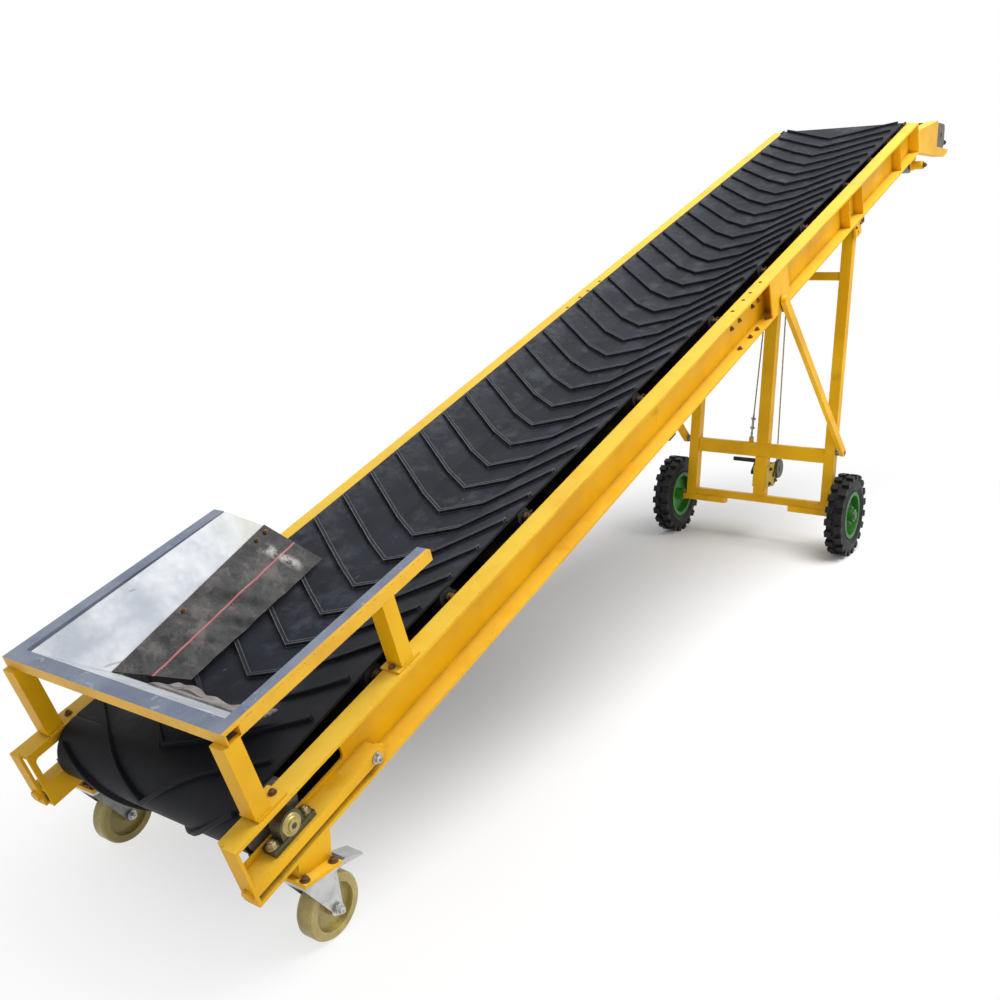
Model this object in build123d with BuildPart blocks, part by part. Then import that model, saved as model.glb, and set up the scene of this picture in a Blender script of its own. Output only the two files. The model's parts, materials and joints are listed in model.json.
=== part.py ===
"""Portable belt conveyor on castors and a wheeled undercarriage, in millimetres.

+X runs from the feed end to the discharge end, +Y to the left, +Z up, floor at Z = 0.
Places along the boom are given as (s, h): distance up the slope from the feed end and
height square to it above the underside of the channels. Places on the ground plane are
given as (x, z), with x counted from the feed end too.
"""
import math
import os

from build123d import *

os.makedirs("parts", exist_ok=True)

BOTH = (1, -1)

# Boom: two steel channels that open outwards, tilted about Y
SLOPE = 19.47
TAIL_X = -2760.5
TAIL_Z = 207.5
CHANNEL_H = 163
CHANNEL_B = 60
FLANGE_T = 9
WEB_T = 7
WEB_Y = 337
BOOM_L = 5220
PLATE_T = 10
STRAP_T = 8
STRAP_W = 38
FLANGE_EDGE = WEB_Y + CHANNEL_B
WEB_FACE = WEB_Y + WEB_T
INNER_H = CHANNEL_H - 2 * FLANGE_T

# Window in the webs beside the tail pulley
WINDOW = (14, 360)
WINDOW_H = (66, 142)
WINDOW_R = 12

# Discharge head: plate boxes bolted to the channel ends, seen from the side as (x, z)
HEAD_PLATE_T = 6
HEAD_LOW = (5500, 1962)
HEAD_TIP = (5583, 1990)
HEAD_SEAT_Z = 2007
HEAD_SEAT_X = 5315
HEAD_TOP = (5285, 2143)
HEAD_START_H = (4, 120)
HEAD_TIE = (5130, 2040)

# Pulleys
TAIL_PULLEY = (142, 88)
TAIL_PULLEY_R = 80
HEAD_PULLEY = (5395, 2072)
HEAD_PULLEY_R = 65
SHAFT_R = 15
SHAFT_OUT = 55
FIT = 0.3

# Belt: 650 mm wide on three-roll troughing idlers
BELT_W = 650
BELT_T = 8
TROUGH_FLAT = 115
WING = BELT_W / 2 - TROUGH_FLAT
FLAT_LIFT = 1
JOIN = 0.6
KINK = (5190, 168)
TROUGH = (
    # distance, height of the underside, lift of the edges
    (500, 136, 44),
    (1160, 110, 70),
    (3450, 110, 70),
)

# Ridges on the belt: open chevrons with their points towards the feed end
CHEVRON_PITCH = 137.85
CHEVRON_START = 426
CHEVRON_REACH = 302
CHEVRON_SWEEP = 198
CHEVRON_W = 14
CHEVRON_H = 12

# Rollers of the return run; the last one presses the belt at the bend
RETURN_R = 28
RETURN_STATIONS = (1010, 2150, 3300, 4400)
SNUB = (5056, 1896)
SNUB_R = 40

# Idlers: distance along the boom of each three-roll set
IDLER_STATIONS = (480, 800, 1195, 1928, 2565, 3067, 3572, 4164, 4566, 4854)
ROLL_R = 30
ROLL_L = 220
WING_ROLL_L = 180
ROLL_SIDES = 20
ROLL_GAP = 0.3
WING_MID = 104
STAGGER = 70
SPINDLE = 12
WING_SPINDLE_OUT = 20
UPRIGHT_T = 6
BASE_BAR = (16, 28)

CROSS_STATIONS = (640, 1560, 2350, 2900, 3750, 4110, 5060)
CROSS_BAR = (10, 45)

# Feed table
TABLE_Y = 385.5
TABLE_FRONT = 84.5
TABLE_REAR = 779
TABLE_H = (396, 375)
RAIL_W = 40
RAIL_H = 30
RAIL_T = 3
POSTS = (
    # middle of the post, start and end of its base plate
    (93, 73, 160),
    (600, 559, 643),
)
POST_SIZE = 45
POST_BASE_T = 6

# Undercarriage
WHEEL_X = 3780.5
WHEEL_Y = 451.5
TYRE_R = 200
TYRE_W = 88
BEAD_R = 104
FLANGE_R = 116
AXLE_R = 15
LEG_LEAN = 5.5
POST_Y = 356
LEG_SIZE = 50
HINGE_UP = 1352
LOW_BAR = (10, 46)
MID_BAR = (242, 311)
TOP_BAR = (1125, 1163)
MID_POST_Y = -13
MID_POST_W = 60
PIN_R = 10
PIN_GAP = 0.05
BRACE_PIVOT = 302
BRACE_SLIDE = (3100, 42)
BRACE_Y = 412
BRACE_T = 20
BRACE_W = 40

# Castors
CASTOR_X = 151
CASTOR_Y = 372
CASTOR_TRAIL = 58
CASTOR_R = 80
CASTOR_W = 46
CASTOR_TOP = 201
CASTOR_PLATE = (115, 108)
CASTOR_PLATE_T = 6
MOUNT_T = 9


def tilted(x, z, slope):
    """Frame whose local X climbs at the slope, in the X-Z plane."""
    c = math.cos(math.radians(slope))
    s = math.sin(math.radians(slope))
    return Plane(origin=(TAIL_X + x, 0, z), x_dir=(c, 0, s), z_dir=(-s, 0, c))


def across(frame, s):
    """Section plane at distance s along a frame: local x is Y, local y is the height."""
    return Plane(origin=frame.from_local_coords((s, 0, 0)), x_dir=(0, 1, 0), z_dir=frame.x_dir)


def along(frame, y):
    """Side-view plane at the given Y: extrusion runs towards -Y."""
    return Plane(origin=frame.from_local_coords((0, y, 0)), x_dir=frame.x_dir, z_dir=(0, -1, 0))


def outer(side, low, high):
    """Y of the face that a side-view extrusion starts from, for a piece between two |Y|."""
    return high if side > 0 else -low


def save(part, name):
    part.label = name
    export_step(part, "parts/" + name + ".step")


BOOM = tilted(0, TAIL_Z, SLOPE)
GROUND = Plane(origin=(TAIL_X, 0, 0))


def to_boom(place):
    """A side-view place on the ground plane, read in the boom's own frame."""
    local = BOOM.to_local_coords(GROUND.from_local_coords((place[0], 0, place[1])))
    return (local.X, local.Z)


def to_ground(place):
    """A side-view place on the boom, read on the ground plane."""
    local = GROUND.to_local_coords(BOOM.from_local_coords((place[0], 0, place[1])))
    return (local.X, local.Z)


def closed(points):
    """Outline that returns to its first point."""
    return list(points) + [points[0]]


def channel_outline(side):
    """Closed outline of a channel opening away from the belt."""
    web = side * WEB_Y
    back = side * WEB_FACE
    edge = side * FLANGE_EDGE
    top = CHANNEL_H
    return closed([
        (web, 0),
        (edge, 0),
        (edge, FLANGE_T),
        (back, FLANGE_T),
        (back, top - FLANGE_T),
        (edge, top - FLANGE_T),
        (edge, top),
        (web, top),
    ])


with BuildPart() as side_channels:
    for side in BOTH:
        with BuildSketch(across(BOOM, 0)) as channel_section:
            with BuildLine() as channel_line:
                Polyline(channel_outline(side))
            make_face()
        extrude(amount=BOOM_L)
    with BuildSketch(along(BOOM, FLANGE_EDGE)) as tail_window:
        with Locations((sum(WINDOW) / 2, sum(WINDOW_H) / 2)):
            RectangleRounded(WINDOW[1] - WINDOW[0], WINDOW_H[1] - WINDOW_H[0], WINDOW_R)
    extrude(amount=2 * FLANGE_EDGE, mode=Mode.SUBTRACT)
save(side_channels.part, "side_channels")

with BuildPart(BOOM) as tail_straps:
    for side in BOTH:
        with Locations((-STRAP_T / 2, side * (FLANGE_EDGE - STRAP_W / 2), CHANNEL_H / 2)):
            Box(STRAP_T, STRAP_W, CHANNEL_H)
save(tail_straps.part, "tail_straps")

# Plates square to the slope: stiffeners between the flanges and the end plates
STIFFENER_W = 45
STIFFENERS = (
    # distance, thickness
    (3070, 8),
    (4040, 8),
    (4240, 8),
    (4905, 8),
)
with BuildPart(BOOM) as web_stiffeners:
    for station, thickness in STIFFENERS:
        for side in BOTH:
            with Locations((station, side * (WEB_FACE + STIFFENER_W / 2), CHANNEL_H / 2)):
                Box(thickness, STIFFENER_W, INNER_H)
save(web_stiffeners.part, "web_stiffeners")

with BuildPart(BOOM) as joint_plates:
    for side in BOTH:
        with Locations((BOOM_L + PLATE_T / 2, side * (WEB_Y + CHANNEL_B / 2), CHANNEL_H / 2)):
            Box(PLATE_T, CHANNEL_B, CHANNEL_H)
save(joint_plates.part, "joint_plates")

# Head boxes: an outer plate with turned-in edges, notched for the bearing
HEAD_START = BOOM_L + PLATE_T
head_outline = closed([
    to_ground((HEAD_START, HEAD_START_H[0])),
    HEAD_LOW,
    HEAD_TIP,
    (HEAD_TIP[0], HEAD_SEAT_Z),
    (HEAD_SEAT_X, HEAD_SEAT_Z),
    (HEAD_SEAT_X, HEAD_TOP[1]),
    HEAD_TOP,
    to_ground((HEAD_START, HEAD_START_H[1])),
])
with BuildPart() as head_boxes:
    for side in BOTH:
        with BuildSketch(along(GROUND, outer(side, WEB_Y, FLANGE_EDGE))) as head_face:
            with BuildLine() as head_line:
                Polyline(head_outline)
            make_face()
        extrude(amount=CHANNEL_B)
        hollow = FLANGE_EDGE - HEAD_PLATE_T
        with BuildSketch(along(GROUND, outer(side, WEB_Y, hollow))) as head_hollow:
            with BuildLine() as hollow_line:
                Polyline(head_outline)
            make_face()
            offset(amount=-HEAD_PLATE_T, kind=Kind.INTERSECTION)
        extrude(amount=hollow - WEB_Y, mode=Mode.SUBTRACT)
save(head_boxes.part, "head_boxes")

with BuildPart(GROUND) as head_tie:
    with Locations((HEAD_TIE[0], 0, HEAD_TIE[1])):
        Box(50, 2 * (FLANGE_EDGE - HEAD_PLATE_T), 50)
save(head_tie.part, "head_tie")

with BuildPart(BOOM) as cross_members:
    for station in CROSS_STATIONS:
        with Locations((station, 0, sum(CROSS_BAR) / 2)):
            Box(40, 2 * WEB_Y, CROSS_BAR[1] - CROSS_BAR[0])
save(cross_members.part, "cross_members")

SPLICE = (2690, 3010)
with BuildPart(BOOM) as splice_plates:
    for side in BOTH:
        with Locations((sum(SPLICE) / 2, side * (WEB_Y - 3), 105)):
            Box(SPLICE[1] - SPLICE[0], 6, 100)
save(splice_plates.part, "splice_plates")


def pulley(frame, place, radius, name):
    """Drum with a through shaft that ends in the bearings."""
    with BuildPart() as drum:
        with BuildSketch(along(frame, BELT_W / 2)) as drum_face:
            with Locations(place):
                Circle(radius)
        extrude(amount=BELT_W)
        with BuildSketch(along(frame, WEB_Y + SHAFT_OUT)) as shaft_face:
            with Locations(place):
                Circle(SHAFT_R)
        extrude(amount=2 * (WEB_Y + SHAFT_OUT))
    save(drum.part, name)


pulley(BOOM, TAIL_PULLEY, TAIL_PULLEY_R, "tail_pulley")
pulley(GROUND, HEAD_PULLEY, HEAD_PULLEY_R, "head_pulley")

# Tail bearings: pillow blocks that slide on angle guides, set by a screw in each side
GUIDE_TOP = 53
GUIDE_L = 430
GUIDE_LIP = 27
GUIDE_T = 8
BLOCK_Y = (350, 388)
BLOCK_L = 130
FOOT_H = 15
HOUSING_R = 33
HOUSING_Y = (353, 385)
SCREW_R = 8
SCREW_Y = 376
SCREW_H = 32
SCREW_HEAD_R = 15

with BuildPart() as tail_bearings:
    for side in BOTH:
        with BuildSketch(along(BOOM, outer(side, *BLOCK_Y))) as foot_face:
            with Locations((TAIL_PULLEY[0], GUIDE_TOP + FOOT_H / 2)):
                Rectangle(BLOCK_L, FOOT_H)
        extrude(amount=BLOCK_Y[1] - BLOCK_Y[0])
        with BuildSketch(along(BOOM, outer(side, *HOUSING_Y))) as housing_face:
            with Locations(TAIL_PULLEY):
                Circle(HOUSING_R)
            with Locations((TAIL_PULLEY[0], GUIDE_TOP + FOOT_H)):
                Rectangle(2 * HOUSING_R, 2 * FOOT_H)
        extrude(amount=HOUSING_Y[1] - HOUSING_Y[0])
    with BuildSketch(along(BOOM, FLANGE_EDGE)) as block_bore:
        with Locations(TAIL_PULLEY):
            Circle(SHAFT_R + FIT)
    extrude(amount=2 * FLANGE_EDGE, mode=Mode.SUBTRACT)
save(tail_bearings.part, "tail_bearings")

with BuildPart() as takeup_guides:
    for side in BOTH:
        with BuildSketch(across(BOOM, 0)) as guide_section:
            with BuildLine() as guide_line:
                edge = side * FLANGE_EDGE
                lip = side * (FLANGE_EDGE - GUIDE_T)
                Polyline(closed([
                    (edge, GUIDE_TOP),
                    (edge, GUIDE_TOP - GUIDE_LIP),
                    (lip, GUIDE_TOP - GUIDE_LIP),
                    (lip, GUIDE_TOP - GUIDE_T),
                    (side * WEB_FACE, GUIDE_TOP - GUIDE_T),
                    (side * WEB_FACE, GUIDE_TOP),
                ]))
            make_face()
        extrude(amount=GUIDE_L)
save(takeup_guides.part, "takeup_guides")

with BuildPart() as takeup_screws:
    for side in BOTH:
        with BuildSketch(across(BOOM, -STRAP_T - SCREW_R)) as screw_head:
            with Locations((side * SCREW_Y, SCREW_H)):
                RegularPolygon(SCREW_HEAD_R, 6)
        extrude(amount=SCREW_R)
        with BuildSketch(across(BOOM, 0)) as screw_rod:
            with Locations((side * SCREW_Y, SCREW_H)):
                RegularPolygon(SCREW_R, 12)
        extrude(amount=GUIDE_L + 20)
        with BuildSketch(across(BOOM, GUIDE_L)) as screw_nut:
            with Locations((side * SCREW_Y, SCREW_H)):
                RegularPolygon(SCREW_HEAD_R, 6)
        extrude(amount=12)
save(takeup_screws.part, "takeup_screws")

# Head bearings: rounded blocks that sit in the notches
HEAD_BLOCK = (2 * (HEAD_PULLEY[0] - HEAD_SEAT_X), 2 * (HEAD_PULLEY[1] - HEAD_SEAT_Z))
HEAD_BLOCK_R = 26
HEAD_BLOCK_Y = (345, FLANGE_EDGE)
with BuildPart() as head_bearings:
    for side in BOTH:
        with BuildSketch(along(GROUND, outer(side, *HEAD_BLOCK_Y))) as head_block:
            with Locations(HEAD_PULLEY):
                RectangleRounded(HEAD_BLOCK[0], HEAD_BLOCK[1], HEAD_BLOCK_R)
                Circle(SHAFT_R + FIT, mode=Mode.SUBTRACT)
        extrude(amount=HEAD_BLOCK_Y[1] - HEAD_BLOCK_Y[0])
save(head_bearings.part, "head_bearings")

HEAD_SCREW_Z = 2045
with BuildPart() as head_screws:
    for side in BOTH:
        block_end = HEAD_PULLEY[0] + HEAD_BLOCK[0] / 2
        with BuildSketch(across(GROUND, block_end)) as head_rod:
            with Locations((side * SCREW_Y, HEAD_SCREW_Z)):
                RegularPolygon(SCREW_R, 12)
        extrude(amount=HEAD_TIP[0] - block_end)
        with BuildSketch(across(GROUND, HEAD_TIP[0] - 24)) as head_nut:
            with Locations((side * SCREW_Y, HEAD_SCREW_Z)):
                RegularPolygon(SCREW_HEAD_R, 6)
        extrude(amount=12)
save(head_screws.part, "head_screws")

# Belt: carrying run lofted between trough sections, wraps and return run in one loop
HEAD_CENTRE = to_boom(HEAD_PULLEY)
SNUB_CENTRE = to_boom(SNUB)
TAIL_LOW = TAIL_PULLEY[1] - TAIL_PULLEY_R


def on_circle(centre, radius, angle):
    a = math.radians(angle)
    return (centre[0] + radius * math.cos(a), centre[1] + radius * math.sin(a))


def tangent_angle(centre, radius, point, turn):
    """Angle on a pulley where a straight run from a point touches it."""
    dx = point[0] - centre[0]
    dy = point[1] - centre[1]
    base = math.degrees(math.atan2(dy, dx))
    swing = math.degrees(math.acos(radius / math.hypot(dx, dy)))
    return base + turn * swing


SNUB_TILT = 84.3
SNUB_CLEAR = SNUB_R + ROLL_GAP + CHEVRON_H + BELT_T
RETURN_KINK = on_circle(SNUB_CENTRE, SNUB_CLEAR + 1, SNUB_TILT)
TAIL_UP = tangent_angle(TAIL_PULLEY, TAIL_PULLEY_R, TROUGH[0][:2], 1)
TAIL_TOUCH = on_circle(TAIL_PULLEY, TAIL_PULLEY_R, TAIL_UP)
TAIL_RATE = (TAIL_TOUCH[1] - TROUGH[0][1]) / (TROUGH[0][0] - TAIL_TOUCH[0])
HEAD_UP = tangent_angle(HEAD_CENTRE, HEAD_PULLEY_R, KINK, -1)
HEAD_DOWN = tangent_angle(HEAD_CENTRE, HEAD_PULLEY_R, RETURN_KINK, 1) - 360
SECTIONS = (
    ((TAIL_TOUCH[0] - JOIN, TAIL_TOUCH[1] + JOIN * TAIL_RATE, FLAT_LIFT),)
    + TROUGH
    + ((KINK[0], KINK[1], FLAT_LIFT),)
)


def belt_at(s):
    """Underside height and edge lift of the carrying run at a distance."""
    for first, second in zip(SECTIONS, SECTIONS[1:]):
        if first[0] <= s <= second[0]:
            t = (s - first[0]) / (second[0] - first[0])
            return [a + t * (b - a) for a, b in zip(first[1:], second[1:])]
    raise ValueError("distance outside the carrying run")


def edge_at(lift):
    """Y of the belt's edge for a given lift of it."""
    return TROUGH_FLAT + math.sqrt(WING ** 2 - lift ** 2)


def folded(base, lift, low, high):
    """Closed outline of a three-part strip between two heights above its underside."""
    edge_y = edge_at(lift)
    lower = [
        (-edge_y, base + lift + low),
        (-TROUGH_FLAT, base + low),
        (TROUGH_FLAT, base + low),
        (edge_y, base + lift + low),
    ]
    upper = [(y, h - low + high) for y, h in reversed(lower)]
    return closed(lower + upper)


def carry_run(low, high):
    """Carrying run of the strip, between two heights above its underside."""
    with BuildPart() as run:
        for first, second in zip(SECTIONS, SECTIONS[1:]):
            for s, base, lift in (first, second):
                with BuildSketch(across(BOOM, s)) as fold_section:
                    with BuildLine() as fold_line:
                        Polyline(folded(base, lift, low, high))
                    make_face()
            loft(ruled=True)
    return run.part


def loop_outline(low, high):
    """Side view of the head wrap, the return run and the tail wrap."""
    inner = HEAD_PULLEY_R + low
    outer_r = HEAD_PULLEY_R + high
    mid = (HEAD_UP + HEAD_DOWN) / 2
    tail_in = TAIL_PULLEY_R + low
    tail_out = TAIL_PULLEY_R + high
    turn_in = (RETURN_KINK[0], RETURN_KINK[1] - low)
    turn_out = (RETURN_KINK[0], RETURN_KINK[1] - high)
    kink_in = (KINK[0], KINK[1] + low)
    kink_out = (KINK[0], KINK[1] + high)
    Line(kink_in, on_circle(HEAD_CENTRE, inner, HEAD_UP))
    ThreePointArc(
        on_circle(HEAD_CENTRE, inner, HEAD_UP),
        on_circle(HEAD_CENTRE, inner, mid),
        on_circle(HEAD_CENTRE, inner, HEAD_DOWN),
    )
    Polyline(
        on_circle(HEAD_CENTRE, inner, HEAD_DOWN),
        turn_in,
        on_circle(TAIL_PULLEY, tail_in, 270),
    )
    ThreePointArc(
        on_circle(TAIL_PULLEY, tail_in, 270),
        on_circle(TAIL_PULLEY, tail_in, 180),
        on_circle(TAIL_PULLEY, tail_in, TAIL_UP),
    )
    Line(on_circle(TAIL_PULLEY, tail_in, TAIL_UP), on_circle(TAIL_PULLEY, tail_out, TAIL_UP))
    ThreePointArc(
        on_circle(TAIL_PULLEY, tail_out, TAIL_UP),
        on_circle(TAIL_PULLEY, tail_out, 180),
        on_circle(TAIL_PULLEY, tail_out, 270),
    )
    Polyline(
        on_circle(TAIL_PULLEY, tail_out, 270),
        turn_out,
        on_circle(HEAD_CENTRE, outer_r, HEAD_DOWN),
    )
    ThreePointArc(
        on_circle(HEAD_CENTRE, outer_r, HEAD_DOWN),
        on_circle(HEAD_CENTRE, outer_r, mid),
        on_circle(HEAD_CENTRE, outer_r, HEAD_UP),
    )
    Polyline(on_circle(HEAD_CENTRE, outer_r, HEAD_UP), kink_out, kink_in)


carrying_strip = carry_run(0, BELT_T)
ridge_layer = carry_run(BELT_T, BELT_T + CHEVRON_H)

with BuildPart() as belt:
    add(carrying_strip)
    with BuildSketch(along(BOOM, BELT_W / 2)) as loop_face:
        with BuildLine() as loop_line:
            loop_outline(0, BELT_T)
        make_face()
    extrude(amount=BELT_W)
save(belt.part, "belt")


def vee(start, ahead):
    """Plan outline of one chevron: its point at the start, its arms ahead of it."""
    back = start + CHEVRON_W
    side = CHEVRON_REACH
    tip = start + ahead * CHEVRON_SWEEP
    return closed([
        (start, 0),
        (tip, side),
        (tip + CHEVRON_W, side),
        (back, 0),
        (tip + CHEVRON_W, -side),
        (tip, -side),
    ])


CARRY_COUNT = int((KINK[0] - CHEVRON_START - CHEVRON_SWEEP) // CHEVRON_PITCH) + 1
RETURN_START = TAIL_PULLEY[0] + CHEVRON_SWEEP + 60
RETURN_COUNT = int((RETURN_KINK[0] - RETURN_START) // CHEVRON_PITCH)

with BuildPart() as carry_chevrons:
    add(ridge_layer)
    with BuildSketch(BOOM) as carry_plan:
        for index in range(CARRY_COUNT):
            with BuildLine() as carry_line:
                Polyline(vee(CHEVRON_START + index * CHEVRON_PITCH, 1))
            make_face()
    extrude(amount=300, mode=Mode.INTERSECT)

return_strip = [
    (TAIL_PULLEY[0], TAIL_LOW - BELT_T),
    (RETURN_KINK[0], RETURN_KINK[1] - BELT_T),
    (RETURN_KINK[0], RETURN_KINK[1] - BELT_T - CHEVRON_H),
    (TAIL_PULLEY[0], TAIL_LOW - BELT_T - CHEVRON_H),
]
with BuildPart() as return_chevrons:
    with BuildSketch(along(BOOM, BELT_W / 2)) as strip_face:
        with BuildLine() as strip_line:
            Polyline(closed(return_strip))
        make_face()
    extrude(amount=BELT_W)
    with BuildSketch(BOOM.offset(-200)) as return_plan:
        for index in range(RETURN_COUNT):
            with BuildLine() as return_line:
                Polyline(vee(RETURN_START + index * CHEVRON_PITCH, -1))
            make_face()
    extrude(amount=300, mode=Mode.INTERSECT)

with BuildPart() as chevrons:
    add(carry_chevrons.part)
    add(return_chevrons.part)
save(chevrons.part, "chevrons")


def wing_axis(s):
    """Start and tilt of a wing roll's axis in the section plane."""
    base, lift = belt_at(s)
    tilt = math.atan2(lift, edge_at(lift) - TROUGH_FLAT)
    drop = ROLL_R + ROLL_GAP
    y = TROUGH_FLAT + drop * math.sin(tilt)
    h = base - drop * math.cos(tilt)
    return y, h, tilt


def wing_point(s, u, v=0):
    """Point at u along a wing roll's axis and v above it."""
    y, h, tilt = wing_axis(s)
    cos_t = math.cos(tilt)
    sin_t = math.sin(tilt)
    return (y + u * cos_t - v * sin_t, h + u * sin_t + v * cos_t)


def wing_plane(s, u, side):
    """Plane square to a wing roll's axis at u along it, facing outwards."""
    y, h = wing_point(s, u)
    tilt = wing_axis(s)[2]
    origin = BOOM.from_local_coords((s, side * y, h))
    tip = BOOM.from_local_coords((s, side * (y + math.cos(tilt)), h + math.sin(tilt)))
    return Plane(origin=origin, x_dir=BOOM.x_dir, z_dir=tip - origin)


WING_IN = WING_MID - WING_ROLL_L / 2
END_Y = (320, 326)
ROLL_END = 4
STEM_Y = (ROLL_L / 2 + ROLL_END, ROLL_L / 2 + ROLL_END + UPRIGHT_T)
SEAT_RISE = 14


def roll_height(station):
    """Axis height of the middle roll under the belt's flat part."""
    return belt_at(station)[0] - ROLL_R - ROLL_GAP


with BuildPart() as idler_rolls:
    for station in IDLER_STATIONS:
        with BuildSketch(along(BOOM, ROLL_L / 2)) as middle_rolls:
            with Locations((station, roll_height(station))):
                RegularPolygon(ROLL_R, ROLL_SIDES)
    extrude(amount=ROLL_L)
    for station in IDLER_STATIONS:
        for side in BOTH:
            with BuildSketch(wing_plane(station + STAGGER, WING_IN, side)) as wing_rolls:
                RegularPolygon(ROLL_R, ROLL_SIDES)
    extrude(amount=WING_ROLL_L)
    for station in IDLER_STATIONS:
        for start in (ROLL_L / 2 + ROLL_END, -ROLL_L / 2):
            with BuildSketch(along(BOOM, start)) as middle_spindles:
                with Locations((station, roll_height(station))):
                    Rectangle(SPINDLE, SPINDLE)
        for side in BOTH:
            with BuildSketch(wing_plane(station + STAGGER, WING_IN - ROLL_END, side)) as inner_spindles:
                Rectangle(SPINDLE, SPINDLE)
    extrude(amount=ROLL_END)
    for station in IDLER_STATIONS:
        for side in BOTH:
            with BuildSketch(wing_plane(station + STAGGER, WING_IN + WING_ROLL_L, side)) as outer_spindles:
                Rectangle(SPINDLE, SPINDLE)
    extrude(amount=WING_SPINDLE_OUT)
save(idler_rolls.part, "idler_rolls")


def inner_upright(s):
    """Outline of the plate square to the wing roll at its inner end, on the base bar."""
    low = BASE_BAR[1]
    corners = []
    for u in (WING_IN - ROLL_END - UPRIGHT_T, WING_IN - ROLL_END):
        y, h = wing_point(s, u, SEAT_RISE)
        foot = y + (h - low) * math.tan(wing_axis(s)[2])
        corners.append(((y, h), (foot, low)))
    return closed([corners[0][0], corners[1][0], corners[1][1], corners[0][1]])


def end_height(s):
    """Height of a wing roll's axis where it passes the end plate."""
    y, h, tilt = wing_axis(s)
    return h + (sum(END_Y) / 2 - y) * math.tan(tilt)


def upright(s, width, low, high):
    """Side-view rectangle of a plate that stands on the base bar."""
    with Locations((s, (low + high) / 2)):
        Rectangle(width, high - low)


SPINDLE_DROP = SPINDLE * 0.75 + ROLL_GAP
SIDE_PLATE_H = 70
BASE_L = STAGGER + 40
with BuildPart() as idler_frames:
    for station in IDLER_STATIONS:
        with BuildSketch(along(BOOM, WEB_Y)) as base_bars:
            with Locations((station + STAGGER / 2, sum(BASE_BAR) / 2)):
                Rectangle(BASE_L, BASE_BAR[1] - BASE_BAR[0])
    extrude(amount=2 * WEB_Y)
    low = BASE_BAR[1]
    for station in IDLER_STATIONS:
        wing_s = station + STAGGER
        for side in BOTH:
            with BuildSketch(along(BOOM, outer(side, *STEM_Y))) as stems:
                upright(station, 30, low, roll_height(station) + SEAT_RISE)
            with BuildSketch(along(BOOM, outer(side, WEB_Y - UPRIGHT_T, WEB_Y))) as side_plates:
                upright(station + STAGGER / 2, 60, low, low + SIDE_PLATE_H)
            with BuildSketch(along(BOOM, outer(side, *END_Y))) as end_plates:
                upright(wing_s, 40, low, end_height(wing_s) + 12)
                with Locations((wing_s, end_height(wing_s) - SPINDLE_DROP + 40)):
                    Rectangle(SPINDLE + 2 * ROLL_GAP, 80, mode=Mode.SUBTRACT)
    extrude(amount=UPRIGHT_T)
    for station in IDLER_STATIONS:
        for side in BOTH:
            with BuildSketch(across(BOOM, station + STAGGER - 15)) as inner_uprights:
                with BuildLine() as upright_line:
                    Polyline([(side * y, h) for y, h in inner_upright(station + STAGGER)])
                make_face()
    extrude(amount=30)
save(idler_frames.part, "idler_frames")


def return_height(s):
    """Axis height of a roller that carries the ridges of the return run."""
    start = (TAIL_PULLEY[0], TAIL_LOW)
    rate = (RETURN_KINK[1] - start[1]) / (RETURN_KINK[0] - start[0])
    return start[1] + (s - start[0]) * rate - BELT_T - CHEVRON_H - ROLL_GAP - RETURN_R


HANGER_T = 7
KINK_RISE = math.degrees(math.atan2(KINK[1] - TROUGH[-1][1], KINK[0] - TROUGH[-1][0]))
KINK_TURN = (KINK_RISE + HEAD_UP - 90) / 2
KINK_REACH = (ROLL_R + ROLL_GAP) / math.cos(math.radians(KINK_RISE - KINK_TURN))
KINK_ROLL = on_circle(KINK, KINK_REACH, KINK_TURN - 90)
ROLLERS = tuple((s, return_height(s), RETURN_R) for s in RETURN_STATIONS) + (
    (KINK_ROLL[0], KINK_ROLL[1], ROLL_R),
    (SNUB_CENTRE[0], SNUB_CENTRE[1], SNUB_R),
)
with BuildPart() as return_rollers:
    for station, height, radius in ROLLERS:
        with BuildSketch(along(BOOM, BELT_W / 2 - 5)) as roller_face:
            with Locations((station, height)):
                Circle(radius)
        extrude(amount=BELT_W - 10)
        with BuildSketch(along(BOOM, WEB_Y - HANGER_T)) as roller_spindle:
            with Locations((station, height)):
                Rectangle(2 * SPINDLE, SPINDLE)
        extrude(amount=2 * (WEB_Y - HANGER_T))
save(return_rollers.part, "return_rollers")

with BuildPart(BOOM) as return_hangers:
    for station, height, radius in ROLLERS[:-1]:
        top = max(height, 0) + 40
        low = height - 18
        for side in BOTH:
            with Locations((station, side * (WEB_Y - HANGER_T / 2), (top + low) / 2)):
                Box(50, HANGER_T, top - low)
save(return_hangers.part, "return_hangers")

# Brackets of the pressing roller, hung from the head boxes
snub_hanger = closed([
    (SNUB[0] - 60, HEAD_LOW[1] + 20),
    (SNUB[0] + 75, HEAD_LOW[1] + 20),
    (SNUB[0] + 28, SNUB[1] - 26),
    (SNUB[0] - 28, SNUB[1] - 26),
])
with BuildPart() as snub_brackets:
    for side in BOTH:
        with BuildSketch(along(GROUND, outer(side, WEB_Y - HANGER_T, WEB_Y))) as snub_face:
            with BuildLine() as snub_line:
                Polyline(snub_hanger)
            make_face()
        extrude(amount=HANGER_T)
        with BuildSketch(along(GROUND, outer(side, WEB_Y, FLANGE_EDGE - 4))) as snub_stub:
            with Locations(SNUB):
                RegularPolygon(22, 12)
        extrude(amount=FLANGE_EDGE - 4 - WEB_Y)
save(snub_brackets.part, "snub_brackets")

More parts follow.
